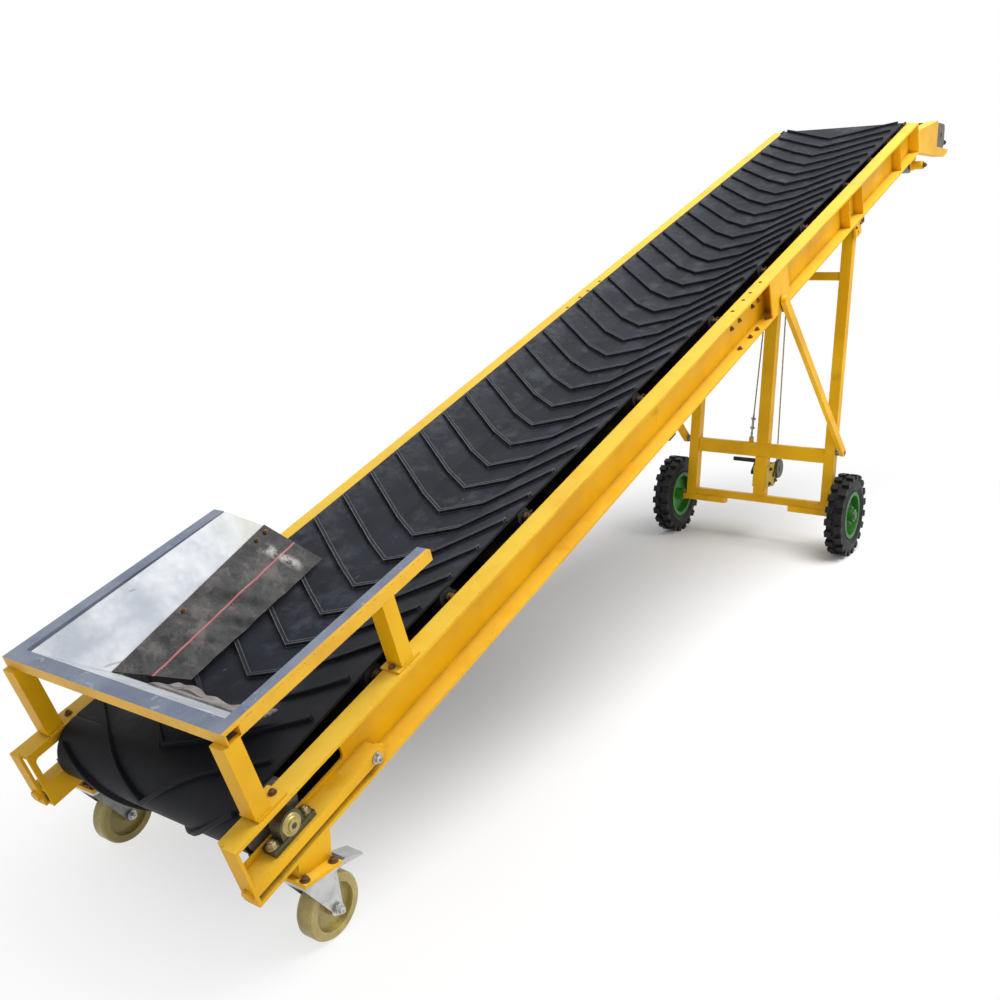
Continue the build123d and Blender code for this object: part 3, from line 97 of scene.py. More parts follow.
class Shade:
    """A node material, built from a few named steps."""

    def __init__(self, name):
        self.material = bpy.data.materials.new(name)
        self.material.use_nodes = True
        self.tree = self.material.node_tree
        self.surface = self.tree.nodes["Principled BSDF"]
        self.coords = self.tree.nodes.new("ShaderNodeTexCoord").outputs["Object"]
        self.geometry = self.tree.nodes.new("ShaderNodeNewGeometry")

    def node(self, kind, **settings):
        made = self.tree.nodes.new("ShaderNode" + kind)
        for key, value in settings.items():
            setattr(made, key, value)
        return made

    def feed(self, socket, value):
        """Put a value or another socket into a socket."""
        if isinstance(value, bpy.types.NodeSocket):
            self.tree.links.new(value, socket)
        else:
            socket.default_value = value

    def scaled(self, stretch):
        """The surface point with each of its axes scaled."""
        mapping = self.node("Mapping")
        self.feed(mapping.inputs["Vector"], self.coords)
        mapping.inputs["Scale"].default_value = stretch
        return mapping.outputs["Vector"]

    def noise(self, scale, detail=4.0, rough=0.55, stretch=None, distort=0.0):
        made = self.node("TexNoise")
        self.feed(made.inputs["Vector"], self.scaled(stretch) if stretch else self.coords)
        made.inputs["Scale"].default_value = scale
        made.inputs["Detail"].default_value = detail
        made.inputs["Roughness"].default_value = rough
        made.inputs["Distortion"].default_value = distort
        return made.outputs["Fac"]

    def cells(self, scale):
        made = self.node("TexVoronoi")
        self.feed(made.inputs["Vector"], self.coords)
        made.inputs["Scale"].default_value = scale
        return made.outputs["Distance"]

    def band(self, value, low, high):
        """0 below low, 1 above high, smooth between; low above high turns it round."""
        made = self.node("MapRange", interpolation_type="SMOOTHSTEP")
        self.feed(made.inputs["Value"], value)
        flip = low > high
        made.inputs["From Min"].default_value = min(low, high)
        made.inputs["From Max"].default_value = max(low, high)
        made.inputs["To Min"].default_value = 1.0 if flip else 0.0
        made.inputs["To Max"].default_value = 0.0 if flip else 1.0
        return made.outputs["Result"]

    def math(self, operation, first, second=0.0):
        made = self.node("Math", operation=operation)
        self.feed(made.inputs[0], first)
        self.feed(made.inputs[1], second)
        return made.outputs["Value"]

    def times(self, first, second):
        return self.math("MULTIPLY", first, second)

    def plus(self, first, second):
        return self.math("ADD", first, second)

    def larger(self, first, second):
        return self.math("MAXIMUM", first, second)

    def blend(self, factor, first, second):
        """Colour between two colours."""
        made = self.node("Mix", data_type="RGBA")
        self.feed(made.inputs["Factor"], factor)
        for socket, value in ((made.inputs[6], first), (made.inputs[7], second)):
            self.feed(socket, value if isinstance(value, bpy.types.NodeSocket) else (*value, 1.0))
        return made.outputs[2]

    def graded(self, value, low, high, first, second):
        """First colour where the value is below low, second where it is above high."""
        return self.blend(self.band(value, low, high), first, second)

    def stained(self, colour, mask, strength, stain):
        """Colour with a stain where the mask is 1, as strong as given."""
        return self.blend(self.times(mask, strength), colour, stain)

    def level(self, factor, first, second):
        """Number between two numbers."""
        made = self.node("Mix", data_type="FLOAT")
        self.feed(made.inputs["Factor"], factor)
        self.feed(made.inputs[2], first)
        self.feed(made.inputs[3], second)
        return made.outputs[0]

    def axis(self, name):
        """One coordinate of the surface point at rest."""
        made = self.node("SeparateXYZ")
        self.feed(made.inputs["Vector"], self.coords)
        return made.outputs[name]

    def facing(self, direction):
        """How far the surface faces a direction, from -1 to 1."""
        made = self.node("VectorMath", operation="DOT_PRODUCT")
        self.feed(made.inputs[0], self.geometry.outputs["Normal"])
        made.inputs[1].default_value = direction
        return made.outputs["Value"]

    def edges(self, radius):
        """1 along sharp outer and inner edges, 0 on flat faces."""
        rounded = self.node("Bevel", samples=6)
        rounded.inputs["Radius"].default_value = radius
        compare = self.node("VectorMath", operation="DOT_PRODUCT")
        self.feed(compare.inputs[0], rounded.outputs["Normal"])
        self.feed(compare.inputs[1], self.geometry.outputs["Normal"])
        return self.band(compare.outputs["Value"], 0.995, 0.85)

    def crevice(self, reach):
        """1 deep in corners, 0 on open faces."""
        hidden = self.node("AmbientOcclusion", samples=4)
        hidden.inputs["Distance"].default_value = reach
        return self.band(hidden.outputs["AO"], 0.75, 0.25)

    def attribute(self, name):
        """A value written on the mesh's corners."""
        return self.node("Attribute", attribute_name=name).outputs["Fac"]

    def bump(self, height, strength, distance):
        made = self.node("Bump")
        made.inputs["Strength"].default_value = strength
        made.inputs["Distance"].default_value = distance
        self.feed(made.inputs["Height"], height)
        self.tree.links.new(made.outputs["Normal"], self.surface.inputs["Normal"])

    def finish(self, colour, roughness, metallic=0.0, **constants):
        """Feed the shader; constants name its other sockets, with _ for a space."""
        self.feed(self.surface.inputs["Base Color"], colour)
        self.feed(self.surface.inputs["Roughness"], roughness)
        self.feed(self.surface.inputs["Metallic"], metallic)
        for key, value in constants.items():
            self.surface.inputs[key.replace("_", " ")].default_value = value
        return self.material


YELLOW = (0.86, 0.47, 0.003)
YELLOW_DEEP = (0.72, 0.36, 0.002)
# Painted light on the yellow paint's upward faces
YELLOW_TOP_LIGHT = (0.86, 0.60, 0.075)
# Rust brown of chips and smudges, and the painted shade in the yellow paint's corners
RUST_AND_SHADE_BROWN = (0.12, 0.055, 0.018)
BARE_ROUGHNESS = 0.7
EDGE_WEAR_R = 0.0025

# Where finishes change, as places at which the change starts and ends
RAIL_INNER_Y = (0.30, 0.32)
RAIL_OUTER_Y = (-0.3755, -0.3725)
TURNED_END_Y = (0.412, 0.416)
# Painted shade on the belt round the tail pulley and on its right wing
TAIL_SHADE_X = (TAIL_X + 0.24, TAIL_X + 0.08)
WING_SHADE_X = (TAIL_X + 1.00, TAIL_X + 0.50)
WING_SHADE_Y = (-0.13, -0.20)
BELT_MARGIN_Y = (0.19, 0.33)
# Where the painted highlight along the ridges' edges starts and ends
HIGHLIGHT_FROM_X = (TAIL_X + 0.25, TAIL_X + 0.5)
HIGHLIGHT_UNTIL_X = (TAIL_X + 3.2, TAIL_X + 1.4)
CREAM_X = (TAIL_X + 0.52, TAIL_X + 0.66)


def painted(name, base, deep, chip_and_shade, wear=0.5, gloss=0.38, top_light=None):
    """Brushed-on paint: clouds, smudges, painted shade in corners, chipped edges, and painted light on upward
    faces.
    """
    shade = Shade(name)
    broad = shade.noise(3.0, 3.0)
    smudge = shade.noise(9.0, 6.0, 0.65)
    speck = shade.noise(120.0, 3.0, 0.6)
    colour = shade.graded(broad, 0.35, 0.7, base, deep)
    if top_light:
        # Painted light: upward faces lighter, in patches
        top = shade.times(shade.band(shade.facing(UP), 0.75, 0.93), shade.band(smudge, 0.15, 0.6))
        colour = shade.stained(colour, top, 0.7, top_light)
    colour = shade.stained(colour, shade.band(smudge, 0.60, 0.78), 0.35, chip_and_shade)
    # Painted shade: patchy darkening deep in corners, from ambient occlusion
    corner = shade.times(shade.crevice(0.035), shade.band(smudge, 0.25, 0.6))
    colour = shade.stained(colour, corner, 0.65, chip_and_shade)
    rubbed = shade.times(shade.edges(EDGE_WEAR_R), shade.band(speck, 0.62 - 0.12 * wear, 0.70))
    spot = shade.times(shade.band(shade.noise(55.0, 5.0, 0.7), 0.70, 0.74), wear)
    bare = shade.larger(rubbed, spot)
    colour = shade.blend(bare, colour, chip_and_shade)
    rough = shade.level(shade.band(smudge, 0.3, 0.8), gloss, gloss + 0.22)
    rough = shade.level(bare, rough, BARE_ROUGHNESS)
    shade.bump(shade.plus(shade.noise(60.0, 4.0), shade.times(bare, -0.6)), 0.12, 0.002)
    return shade.finish(colour, rough, Specular_IOR_Level=0.22)


def rail_paint():
    """Yellow rails whose tops and inner left face are worn to blue-grey metal."""
    shade = Shade("rail_paint")
    ragged = shade.times(shade.noise(45.0, 4.0), 0.25)
    top = shade.band(shade.plus(shade.facing((-0.2, 0.0, 0.98)), ragged), 0.86, 0.96)
    side = shade.times(
        shade.band(shade.facing(RIGHT), 0.7, 0.8),
        shade.band(shade.axis("Y"), *RAIL_INNER_Y),
    )
    worn = shade.larger(top, side)
    worn = shade.times(worn, shade.band(shade.axis("Y"), *RAIL_OUTER_Y))
    broad = shade.noise(7.0, 5.0, 0.6)
    yellow = shade.graded(broad, 0.35, 0.7, YELLOW, YELLOW_DEEP)
    metal = shade.graded(broad, 0.35, 0.65, (0.145, 0.175, 0.25), (0.23, 0.26, 0.33))
    scratch = shade.band(shade.noise(30.0, 3.0, 0.6, distort=1.5), 0.64, 0.70)
    metal = shade.stained(metal, scratch, 0.5, (0.42, 0.44, 0.47))
    chips = shade.times(shade.edges(EDGE_WEAR_R), shade.band(shade.noise(90.0), 0.52, 0.62))
    yellow = shade.blend(chips, yellow, RUST_AND_SHADE_BROWN)
    colour = shade.blend(worn, yellow, metal)
    rough = shade.level(worn, 0.42, shade.level(broad, 0.32, 0.55))
    shade.bump(shade.noise(80.0, 4.0), 0.10, 0.002)
    return shade.finish(colour, rough, shade.times(worn, 0.55))


def axle_paint():
    """Painted axle bar whose turned ends are dark steel."""
    shade = Shade("axle_paint")
    broad = shade.noise(8.0, 5.0, 0.6)
    bar = shade.graded(broad, 0.35, 0.7, YELLOW, YELLOW_DEEP)
    end = shade.graded(broad, 0.35, 0.7, (0.05, 0.05, 0.045), (0.10, 0.095, 0.08))
    turned = shade.band(shade.math("ABSOLUTE", shade.axis("Y")), *TURNED_END_Y)
    shade.bump(shade.noise(70.0, 4.0), 0.12, 0.002)
    colour = shade.blend(turned, bar, end)
    return shade.finish(colour, shade.level(turned, 0.5, 0.4), Specular_IOR_Level=0.25)


def steel(name, base, dark, grime, metallic=0.9, low=0.25, high=0.5):
    """Plated or bare steel with stains; low and high bound its roughness."""
    shade = Shade(name)
    stain = shade.noise(14.0, 6.0, 0.65)
    colour = shade.graded(stain, 0.35, 0.7, base, dark)
    colour = shade.stained(colour, shade.band(shade.noise(40.0, 5.0), 0.58, 0.7), 0.6, grime)
    rough = shade.level(stain, low, high)
    shade.bump(shade.noise(200.0, 3.0), 0.08, 0.001)
    return shade.finish(colour, rough, metallic)


def greasy_cast():
    """Cast housing under dark olive grease."""
    shade = Shade("greasy_cast")
    grease = shade.noise(22.0, 6.0, 0.65)
    colour = shade.graded(grease, 0.35, 0.7, (0.035, 0.034, 0.020), (0.11, 0.10, 0.045))
    colour = shade.stained(colour, shade.edges(0.002), 0.5, (0.24, 0.22, 0.12))
    shade.bump(shade.noise(90.0, 5.0), 0.35, 0.002)
    return shade.finish(colour, shade.level(grease, 0.28, 0.6), 0.3)


def painted_tail_wing_shade(shade, colour):
    """Painted shade: blacker rubber round the tail pulley and on the right wing beside the feed table."""
    along = shade.axis("X")
    tail = shade.band(along, *TAIL_SHADE_X)
    beside = shade.band(along, *WING_SHADE_X)
    wing = shade.times(beside, shade.band(shade.axis("Y"), *WING_SHADE_Y))
    return shade.stained(colour, shade.larger(tail, wing), 0.8, (0.004, 0.0045, 0.006))


def belt_rubber():
    """Blue-black rubber with dusty clouds, scuffs and a paler left margin."""
    shade = Shade("belt_rubber")
    cloud = shade.noise(5.5, 6.0, 0.62)
    fine = shade.noise(38.0, 5.0, 0.7)
    base = shade.graded(cloud, 0.3, 0.75, (0.006, 0.007, 0.012), (0.017, 0.019, 0.029))
    dust = shade.band(shade.noise(9.0, 8.0, 0.72), 0.48, 0.72)
    colour = shade.stained(base, dust, 0.75, (0.055, 0.060, 0.075))
    margin = shade.times(
        shade.band(shade.axis("Y"), *BELT_MARGIN_Y),
        shade.band(fine, 0.35, 0.65),
    )
    colour = shade.stained(colour, margin, 0.55, (0.075, 0.080, 0.090))
    scuff = shade.noise(70.0, 2.0, 0.5, (0.15, 1.0, 1.0))
    colour = shade.stained(colour, shade.band(scuff, 0.72, 0.78), 0.35, (0.20, 0.20, 0.21))
    # Painted shade round the tail pulley and on the right wing
    colour = painted_tail_wing_shade(shade, colour)
    shade.bump(shade.plus(fine, shade.times(cloud, 0.8)), 0.18, 0.002)
    return shade.finish(colour, shade.level(cloud, 0.45, 0.65), Specular_IOR_Level=0.16)


def ridge_rubber():
    """Same rubber on the ridges, with a painted highlight along their edges on the boom's lower half."""
    shade = Shade("ridge_rubber")
    fine = shade.noise(50.0, 5.0, 0.65)
    base = shade.graded(fine, 0.3, 0.7, (0.007, 0.008, 0.012), (0.020, 0.022, 0.028))
    # Painted highlight: pale along the ridges' edges
    edge_highlight = shade.times(shade.edges(0.006), shade.band(fine, 0.15, 0.5))
    near = shade.times(
        shade.band(shade.axis("X"), *HIGHLIGHT_FROM_X),
        shade.band(shade.axis("X"), *HIGHLIGHT_UNTIL_X),
    )
    edge_highlight = shade.times(edge_highlight, shade.level(near, 0.12, 0.85))
    # Painted shade on the ridges round the tail pulley and on the right wing
    colour = painted_tail_wing_shade(shade, shade.blend(edge_highlight, base, (0.22, 0.225, 0.24)))
    shade.bump(fine, 0.2, 0.0015)
    return shade.finish(colour, shade.level(fine, 0.45, 0.65), Specular_IOR_Level=0.16)


def galvanised():
    """Pale zinc sheet with cloudy bloom, scratches and a cream patch."""
    shade = Shade("galvanised")
    cloud = shade.noise(8.0, 6.0, 0.6)
    flake = shade.cells(38.0)
    cool = shade.graded(cloud, 0.32, 0.68, (0.61, 0.63, 0.655), (0.39, 0.42, 0.47))
    cool = shade.stained(cool, shade.band(flake, 0.2, 0.6), 0.15, (0.36, 0.38, 0.42))
    cream = shade.times(shade.band(shade.axis("X"), *CREAM_X), shade.band(cloud, 0.30, 0.5))
    colour = shade.stained(cool, cream, 0.5, (0.60, 0.575, 0.45))
    marks = shade.noise(26.0, 3.0, 0.5, (0.25, 1.0, 1.0), 1.0)
    colour = shade.stained(colour, shade.band(marks, 0.69, 0.73), 0.55, (0.20, 0.20, 0.20))
    colour = shade.stained(colour, shade.edges(0.003), 0.6, (0.28, 0.28, 0.27))
    shade.bump(shade.plus(cloud, shade.times(shade.noise(90.0), 0.15)), 0.25, 0.004)
    return shade.finish(colour, shade.level(cloud, 0.38, 0.6), 0.15, Specular_IOR_Level=0.3)


def skirt_rubber():
    """Worn belt offcut: dark mottle, one red line with a pink core, and a pale scrape."""
    shade = Shade("skirt_rubber")
    mottle = shade.noise(30.0, 8.0, 0.74)
    patch = shade.noise(11.0, 8.0, 0.7)
    colour = shade.graded(mottle, 0.38, 0.62, (0.007, 0.007, 0.008), (0.050, 0.047, 0.046))
    colour = shade.stained(colour, shade.band(patch, 0.50, 0.64), 0.7, (0.135, 0.122, 0.114))
    across = shade.attribute("across")
    offset = shade.plus(across, shade.times(shade.noise(9.0, 2.0), 0.05))
    line = shade.times(shade.band(offset, 0.515, 0.524), shade.band(offset, 0.560, 0.551))
    core = shade.times(shade.band(offset, 0.526, 0.534), shade.band(offset, 0.549, 0.541))
    line = shade.times(line, shade.band(shade.noise(60.0, 3.0), 0.24, 0.42))
    red = shade.blend(core, (0.27, 0.05, 0.06), (0.50, 0.21, 0.21))
    colour = shade.blend(line, colour, red)
    along = shade.attribute("along")
    scrape = shade.times(shade.band(along, 0.84, 0.88), shade.band(along, 0.93, 0.89))
    middle = shade.times(shade.band(across, 0.18, 0.32), shade.band(across, 0.95, 0.72))
    scrape = shade.times(shade.times(scrape, middle), shade.band(mottle, 0.42, 0.6))
    colour = shade.stained(colour, scrape, 0.8, (0.60, 0.57, 0.54))
    colour = shade.stained(colour, shade.edges(0.002), 0.4, (0.22, 0.21, 0.20))
    shade.bump(shade.plus(mottle, shade.noise(120.0, 3.0)), 0.22, 0.002)
    return shade.finish(colour, shade.level(mottle, 0.38, 0.6), Specular_IOR_Level=0.25)


def flap_rubber():
    """Brownish worn flap with painted shade in its creases."""
    shade = Shade("flap_rubber")
    mottle = shade.noise(20.0, 6.0, 0.66)
    crease = shade.noise(12.0, 3.0, 0.5, (3.0, 0.35, 3.0), 0.8)
    colour = shade.graded(mottle, 0.3, 0.7, (0.16, 0.145, 0.137), (0.31, 0.285, 0.272))
    # Painted shade: dark lines in the creases
    colour = shade.graded(crease, 0.60, 0.64, colour, (0.045, 0.036, 0.03))
    shade.bump(shade.plus(crease, mottle), 0.5, 0.004)
    return shade.finish(colour, shade.level(mottle, 0.5, 0.75))


def tyre_rubber():
    """Black tyre with a painted grey highlight along the lugs' edges."""
    shade = Shade("tyre_rubber")
    fine = shade.noise(60.0, 5.0, 0.65)
    colour = shade.graded(fine, 0.3, 0.7, (0.004, 0.004, 0.004), (0.014, 0.014, 0.015))
    # Painted highlight: grey along the lugs' edges
    edge_highlight = shade.times(shade.edges(0.004), shade.band(fine, 0.3, 0.65))
    colour = shade.stained(colour, edge_highlight, 0.5, (0.07, 0.07, 0.073))
    shade.bump(fine, 0.25, 0.002)
    return shade.finish(colour, shade.level(fine, 0.42, 0.7), Specular_IOR_Level=0.25)


def castor_tread():
    """Olive-yellow cast polyurethane, a little translucent and scuffed."""
    shade = Shade("castor_tread")
    cloud = shade.noise(18.0, 4.0, 0.6)
    colour = shade.graded(cloud, 0.3, 0.7, (0.44, 0.35, 0.10), (0.30, 0.23, 0.055))
    scuff = shade.band(shade.noise(60.0, 5.0), 0.55, 0.7)
    colour = shade.stained(colour, scuff, 0.4, (0.20, 0.17, 0.08))
    colour = shade.stained(colour, shade.edges(0.003), 0.35, (0.58, 0.55, 0.36))
    shade.bump(shade.noise(120.0, 3.0), 0.15, 0.001)
    rough = shade.level(cloud, 0.30, 0.5)
    return shade.finish(colour, rough, Subsurface_Weight=0.08, Coat_Weight=0.2)


def rope_wire():
    """Rusty brown wire rope."""
    shade = Shade("rope_wire")
    lay = shade.noise(260.0, 2.0, 0.5, (1.0, 1.0, 0.4))
    colour = shade.graded(lay, 0.35, 0.65, (0.50, 0.36, 0.12), (0.16, 0.12, 0.07))
    shade.bump(lay, 0.4, 0.001)
    return shade.finish(colour, 0.5, 0.4)


YELLOW_PAINT = painted("yellow_paint", YELLOW, YELLOW_DEEP, RUST_AND_SHADE_BROWN, top_light=YELLOW_TOP_LIGHT)
WINCH_PAINT = painted(
    "winch_paint", (0.66, 0.46, 0.04), (0.46, 0.31, 0.03), (0.06, 0.05, 0.04), wear=0.8,
)
GREEN_PAINT = painted(
    "green_paint", (0.045, 0.25, 0.03), (0.02, 0.13, 0.02), (0.02, 0.03, 0.02), gloss=0.3,
)
BRIGHT_STEEL = steel("bright_steel", (0.62, 0.63, 0.62), (0.44, 0.45, 0.44), (0.22, 0.19, 0.14))
DULL_STEEL = steel(
    "dull_steel", (0.30, 0.30, 0.29), (0.17, 0.17, 0.17), (0.08, 0.06, 0.04), 0.7, 0.4, 0.65,
)
ZINC_BOLT = steel(
    "zinc_bolt", (0.60, 0.55, 0.36), (0.42, 0.36, 0.20), (0.14, 0.11, 0.06), 0.85, 0.28, 0.5,
)
BRASS_END = steel(
    "brass_end", (0.62, 0.52, 0.20), (0.42, 0.33, 0.12), (0.10, 0.08, 0.04), 0.8, 0.3, 0.5,
)
RUST_BOLT = steel(
    "rust_bolt", (0.22, 0.11, 0.035), (0.11, 0.055, 0.022), (0.04, 0.022, 0.012), 0.3, 0.5, 0.75,
)
AXLE = axle_paint()
DARK_ROLL = steel(
    "dark_roll", (0.055, 0.05, 0.045), (0.022, 0.02, 0.018), (0.09, 0.06, 0.03), 0.5, 0.4, 0.65,
)
# Near-black copy of the yellow paint: painted shade for the idler frames, cross members and return hangers in the
# belt's shadow
SHADED_YELLOW = painted(
    "shaded_yellow_paint", (0.060, 0.040, 0.010), (0.022, 0.016, 0.008), (0.012, 0.010, 0.008), 0.6, 0.6,
)
RAIL_PAINT = rail_paint()
CAST = greasy_cast()
BELT = belt_rubber()
RIDGE = ridge_rubber()
SHEET = galvanised()
SKIRT = skirt_rubber()
FLAP_RUBBER = flap_rubber()
TYRE = tyre_rubber()
CASTOR = castor_tread()
ROPE = rope_wire()

# Finish of each material slot, and of the nodes that look otherwise than their slot
FINISHES = {
    "yellow_paint": YELLOW_PAINT,
    "steel": DULL_STEEL,
    "cast": CAST,
    "belt_rubber": BELT,
    "skirt_rubber": SKIRT,
    "sheet_steel": SHEET,
    "castor_tread": CASTOR,
    "tyre_rubber": TYRE,
    "green_paint": GREEN_PAINT,
    "winch_paint": WINCH_PAINT,
}
OWN_FINISH = {
    "chevrons": RIDGE,
    "table_front_rail": RAIL_PAINT,
    "table_side_rails": RAIL_PAINT,
    "front_flap": FLAP_RUBBER,
    "castor_plates": BRIGHT_STEEL,
    # The right castor's fork is bright steel and the left one keeps the duller slot steel: painted shade on the
    # left fork, under the conveyor
    "castor_fork_right": BRIGHT_STEEL,
    "takeup_screws": YELLOW_PAINT,
    "stub_axles": AXLE,
    # Painted shade: the idler rolls are near-black steel, where the belt's shadow falls on their ends
    "idler_rolls": DARK_ROLL,
    "winch_handle": DARK_ROLL,
    "head_screws": CAST,
    # Painted shade: the parts in the belt's shadow get the near-black copy of the yellow paint
    "idler_frames": SHADED_YELLOW,
    "cross_members": SHADED_YELLOW,
    "return_hangers": SHADED_YELLOW,
}


def dress_nodes():
    """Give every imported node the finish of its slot, or its own."""
    slots = {row["node"]: row["material_slot"] for row in frame["record"]["subparts"]}
    for name, node in NODES.items():
        material = OWN_FINISH.get(name) or FINISHES[slots[name]]
        node.data.materials.clear()
        node.data.materials.append(material)


def node_points(name):
    """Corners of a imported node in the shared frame, each once."""
    node = NODES[name]
    world = node.matrix_world
    seen = {tuple(round(v, 5) for v in world @ corner.co) for corner in node.data.vertices}
    return [Vector(place) for place in sorted(seen)]


def mean(points):
    return sum(points, Vector()) / len(points)


def add_piece(bm, name, material, body):
    """Make a finished mesh a piece of the scene that rides on a body."""
    mesh = bpy.data.meshes.new(name)
    bm.to_mesh(mesh)
    bm.free()
    mesh.materials.append(material)
    piece = bpy.data.objects.new(name, mesh)
    bpy.context.scene.collection.objects.link(piece)
    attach(piece, body)
    return piece


def turned_to(direction, at):
    """Matrix that carries local Z to a direction, at a place."""
    return Matrix.Translation(at) @ direction.to_track_quat("Z", "Y").to_matrix().to_4x4()


def join_rings(bm, low, high):
    """Faces between two closed rows of corners."""
    for index in range(len(low)):
        following = (index + 1) % len(low)
        bm.faces.new((low[index], low[following], high[following], high[index]))


class Hardware:
    """Many small turned or hexagonal pieces gathered in one mesh."""

    def __init__(self):
        self.mesh = bmesh.new()

    def prism(self, at, direction, radius, height, sides, top=1.0):
        """Prism or cone stub that stands on a place; top is its upper radius as a share."""
        matrix = turned_to(direction, at + direction * height / 2)
        bmesh.ops.create_cone(
            self.mesh, cap_ends=True, cap_tris=False, segments=sides,
            radius1=radius, radius2=radius * top, depth=height, matrix=matrix,
        )

    def stack(self, at, direction, steps):
        """Turned steps on one axis: where each starts, then what prism needs."""
        for start, radius, height, sides, top in steps:
            self.prism(at + direction * start, direction, radius, height, sides, top)

    def bolt(self, at, direction, size):
        """Washer, hexagon head with a chamfered crown, and the thread's end."""
        direction = direction.normalized()
        washer = size * 0.16
        head = size * 0.55
        body = head * 0.82
        crown = head * 0.18
        self.prism(at, direction, size * 0.78, washer, 20)
        self.prism(at + direction * washer, direction, size * 0.56, body, 6)
        self.prism(at + direction * (washer + body), direction, size * 0.55, crown, 6, 0.84)
        self.prism(at + direction * (washer + head), direction, size * 0.26, size * 0.22, 12, 0.85)

    def piece(self, name, material, body, slot):
        return add_piece(self.mesh, name, material, body)


# The idlers' stations up the boom. Each one's wing rolls stand a little further up, and their
# corners are the ones near that station and clear of the middle roll.
IDLERS = (0.480, 0.800, 1.195, 1.928, 2.565, 3.067, 3.572, 4.164, 4.566, 4.854)
WING_BEHIND = 0.070
WING_REACH = 0.045
WING_FROM_Y = 0.125
END_CORNERS = 4
# start, radius, height, sides, top
SPINDLE_NUT = (
    (-0.013, 0.0145, 0.004, 16, 1.0),
    (-0.009, 0.0125, 0.010, 6, 1.0),
    (0.001, 0.006, 0.007, 12, 0.85),
)


def idler_nuts():
    """Rusty nuts on the outer ends of the wing rolls' spindles."""
    nuts = Hardware()
    corners = [(to_boom(point), point) for point in node_points("idler_rolls")]
    for station in IDLERS:
        for side in BOTH:
            wing = [
                (y * side, point) for (s, y, _), point in corners
                if abs(s - station - WING_BEHIND) < WING_REACH and y * side > WING_FROM_Y
            ]
            wing.sort(key=lambda pair: pair[0])
            end = mean([point for _, point in wing[-END_CORNERS:]])
            direction = (end - mean([point for _, point in wing])).normalized()
            nuts.stack(end, direction, SPINDLE_NUT)
    return nuts.piece("idler_nuts", RUST_BOLT, "boom", "steel")


SPLICE_FLANGE_S = (2.707, 2.814, 2.886, 2.993)
SPLICE_WEB_S = (2.712, 2.790, 2.925, 2.985)
SPLICE_WEB_H = 0.090
SPLICE_UNDER_Y = 0.374
LOWER_FLANGE_TOP = 0.009
SPLICE_BOLT = 0.013
# radius, height, sides, top
SPLICE_HEAD = (0.0075, 0.0015, 16, 0.9)


def splice_hardware():
    """Bolts through the channels' splice, on the flanges and through the webs."""
    bolts = Hardware()
    for side in BOTH:
        for s in SPLICE_FLANGE_S:
            upper = boom(s, side * FLANGE_BOLT_Y, CHANNEL_H)
            bolts.prism(upper, OFF_SLOPE, *SPLICE_HEAD)
            bolts.bolt(boom(s, side * SPLICE_UNDER_Y, LOWER_FLANGE_TOP), OFF_SLOPE, SPLICE_BOLT)
        for s in SPLICE_WEB_S:
            bolts.bolt(boom(s, side * WEB_FACE, SPLICE_WEB_H), LEFT * side, SPLICE_BOLT)
    return bolts.piece("splice_bolts", RUST_BOLT, "boom", "steel")


# Distance up the boom and size of the bolts in the posts' feet
FOOT_BOLTS = ((0.146, 0.013), (0.568, 0.011), (0.633, 0.011))
FOOT_T = 0.006


def stand_hardware():
    """Bolts through the feet of the feed table's posts."""
    bolts = Hardware()
    for side in BOTH:
        for s, size in FOOT_BOLTS:
            bolts.bolt(boom(s, side * FLANGE_BOLT_Y, CHANNEL_H + FOOT_T), OFF_SLOPE, size)
    return bolts.piece("stand_bolts", RUST_BOLT, "boom", "steel")


# The tail pulley's shaft, and the belt's outer face round it
PULLEY_S = 0.142
PULLEY_H = 0.088
WRAP_R = 0.088
BLOCK_BOLT_S = (0.090, 0.194)
BLOCK_BOLT_Y = 0.369
BLOCK_BOLT_H = 0.068
GUIDE_END_S = 0.405
GUIDE_END_H = 0.040
BIG_BOLT = 0.019
RING_Y = 0.385
CENTRE_Y = 0.394
# start, radius, height, sides, top
SHAFT_RING = (
    (0.0, 0.027, 0.0035, 36, 0.93),
    (0.003, 0.0205, 0.003, 36, 0.9),
    (0.0065, 0.0152, 0.0025, 32, 0.95),
)
SHAFT_CENTRE = ((0.0, 0.0075, 0.001, 20, 0.9), (0.001, 0.0045, 0.0012, 6, 0.9))


def tail_bearing_hardware():
    """Zinc bolts on the pillow blocks, the guides' end nuts, and the rings on the shaft's ends."""
    bolts = Hardware()
    for side in BOTH:
        for s in BLOCK_BOLT_S:
            bolts.bolt(boom(s, side * BLOCK_BOLT_Y, BLOCK_BOLT_H), OFF_SLOPE, BIG_BOLT)
    bolts.piece("tail_block_bolts", ZINC_BOLT, "boom", "steel")
    ends = Hardware()
    for side in BOTH:
        ends.bolt(boom(GUIDE_END_S, side * FLANGE_EDGE, GUIDE_END_H), LEFT * side, BIG_BOLT)
    ends.piece("guide_end_nuts", BRIGHT_STEEL, "boom", "steel")
    rings = Hardware()
    for side in BOTH:
        rings.stack(boom(PULLEY_S, side * RING_Y, PULLEY_H), LEFT * side, SHAFT_RING)
    rings.piece("tail_shaft_rings", BRASS_END, "boom", "steel")
    centres = Hardware()
    for side in BOTH:
        centres.stack(boom(PULLEY_S, side * CENTRE_Y, PULLEY_H), LEFT * side, SHAFT_CENTRE)
    return centres.piece("tail_shaft_centres", CAST, "boom", "cast")


PLATE_BOLT_X = (-0.044, 0.044)
PLATE_BOLT_Y = (0.331, 0.412)
PLATE_TOP_Z = 0.210
PLATE_BOLT = 0.015
AXLE_NUT = 0.017


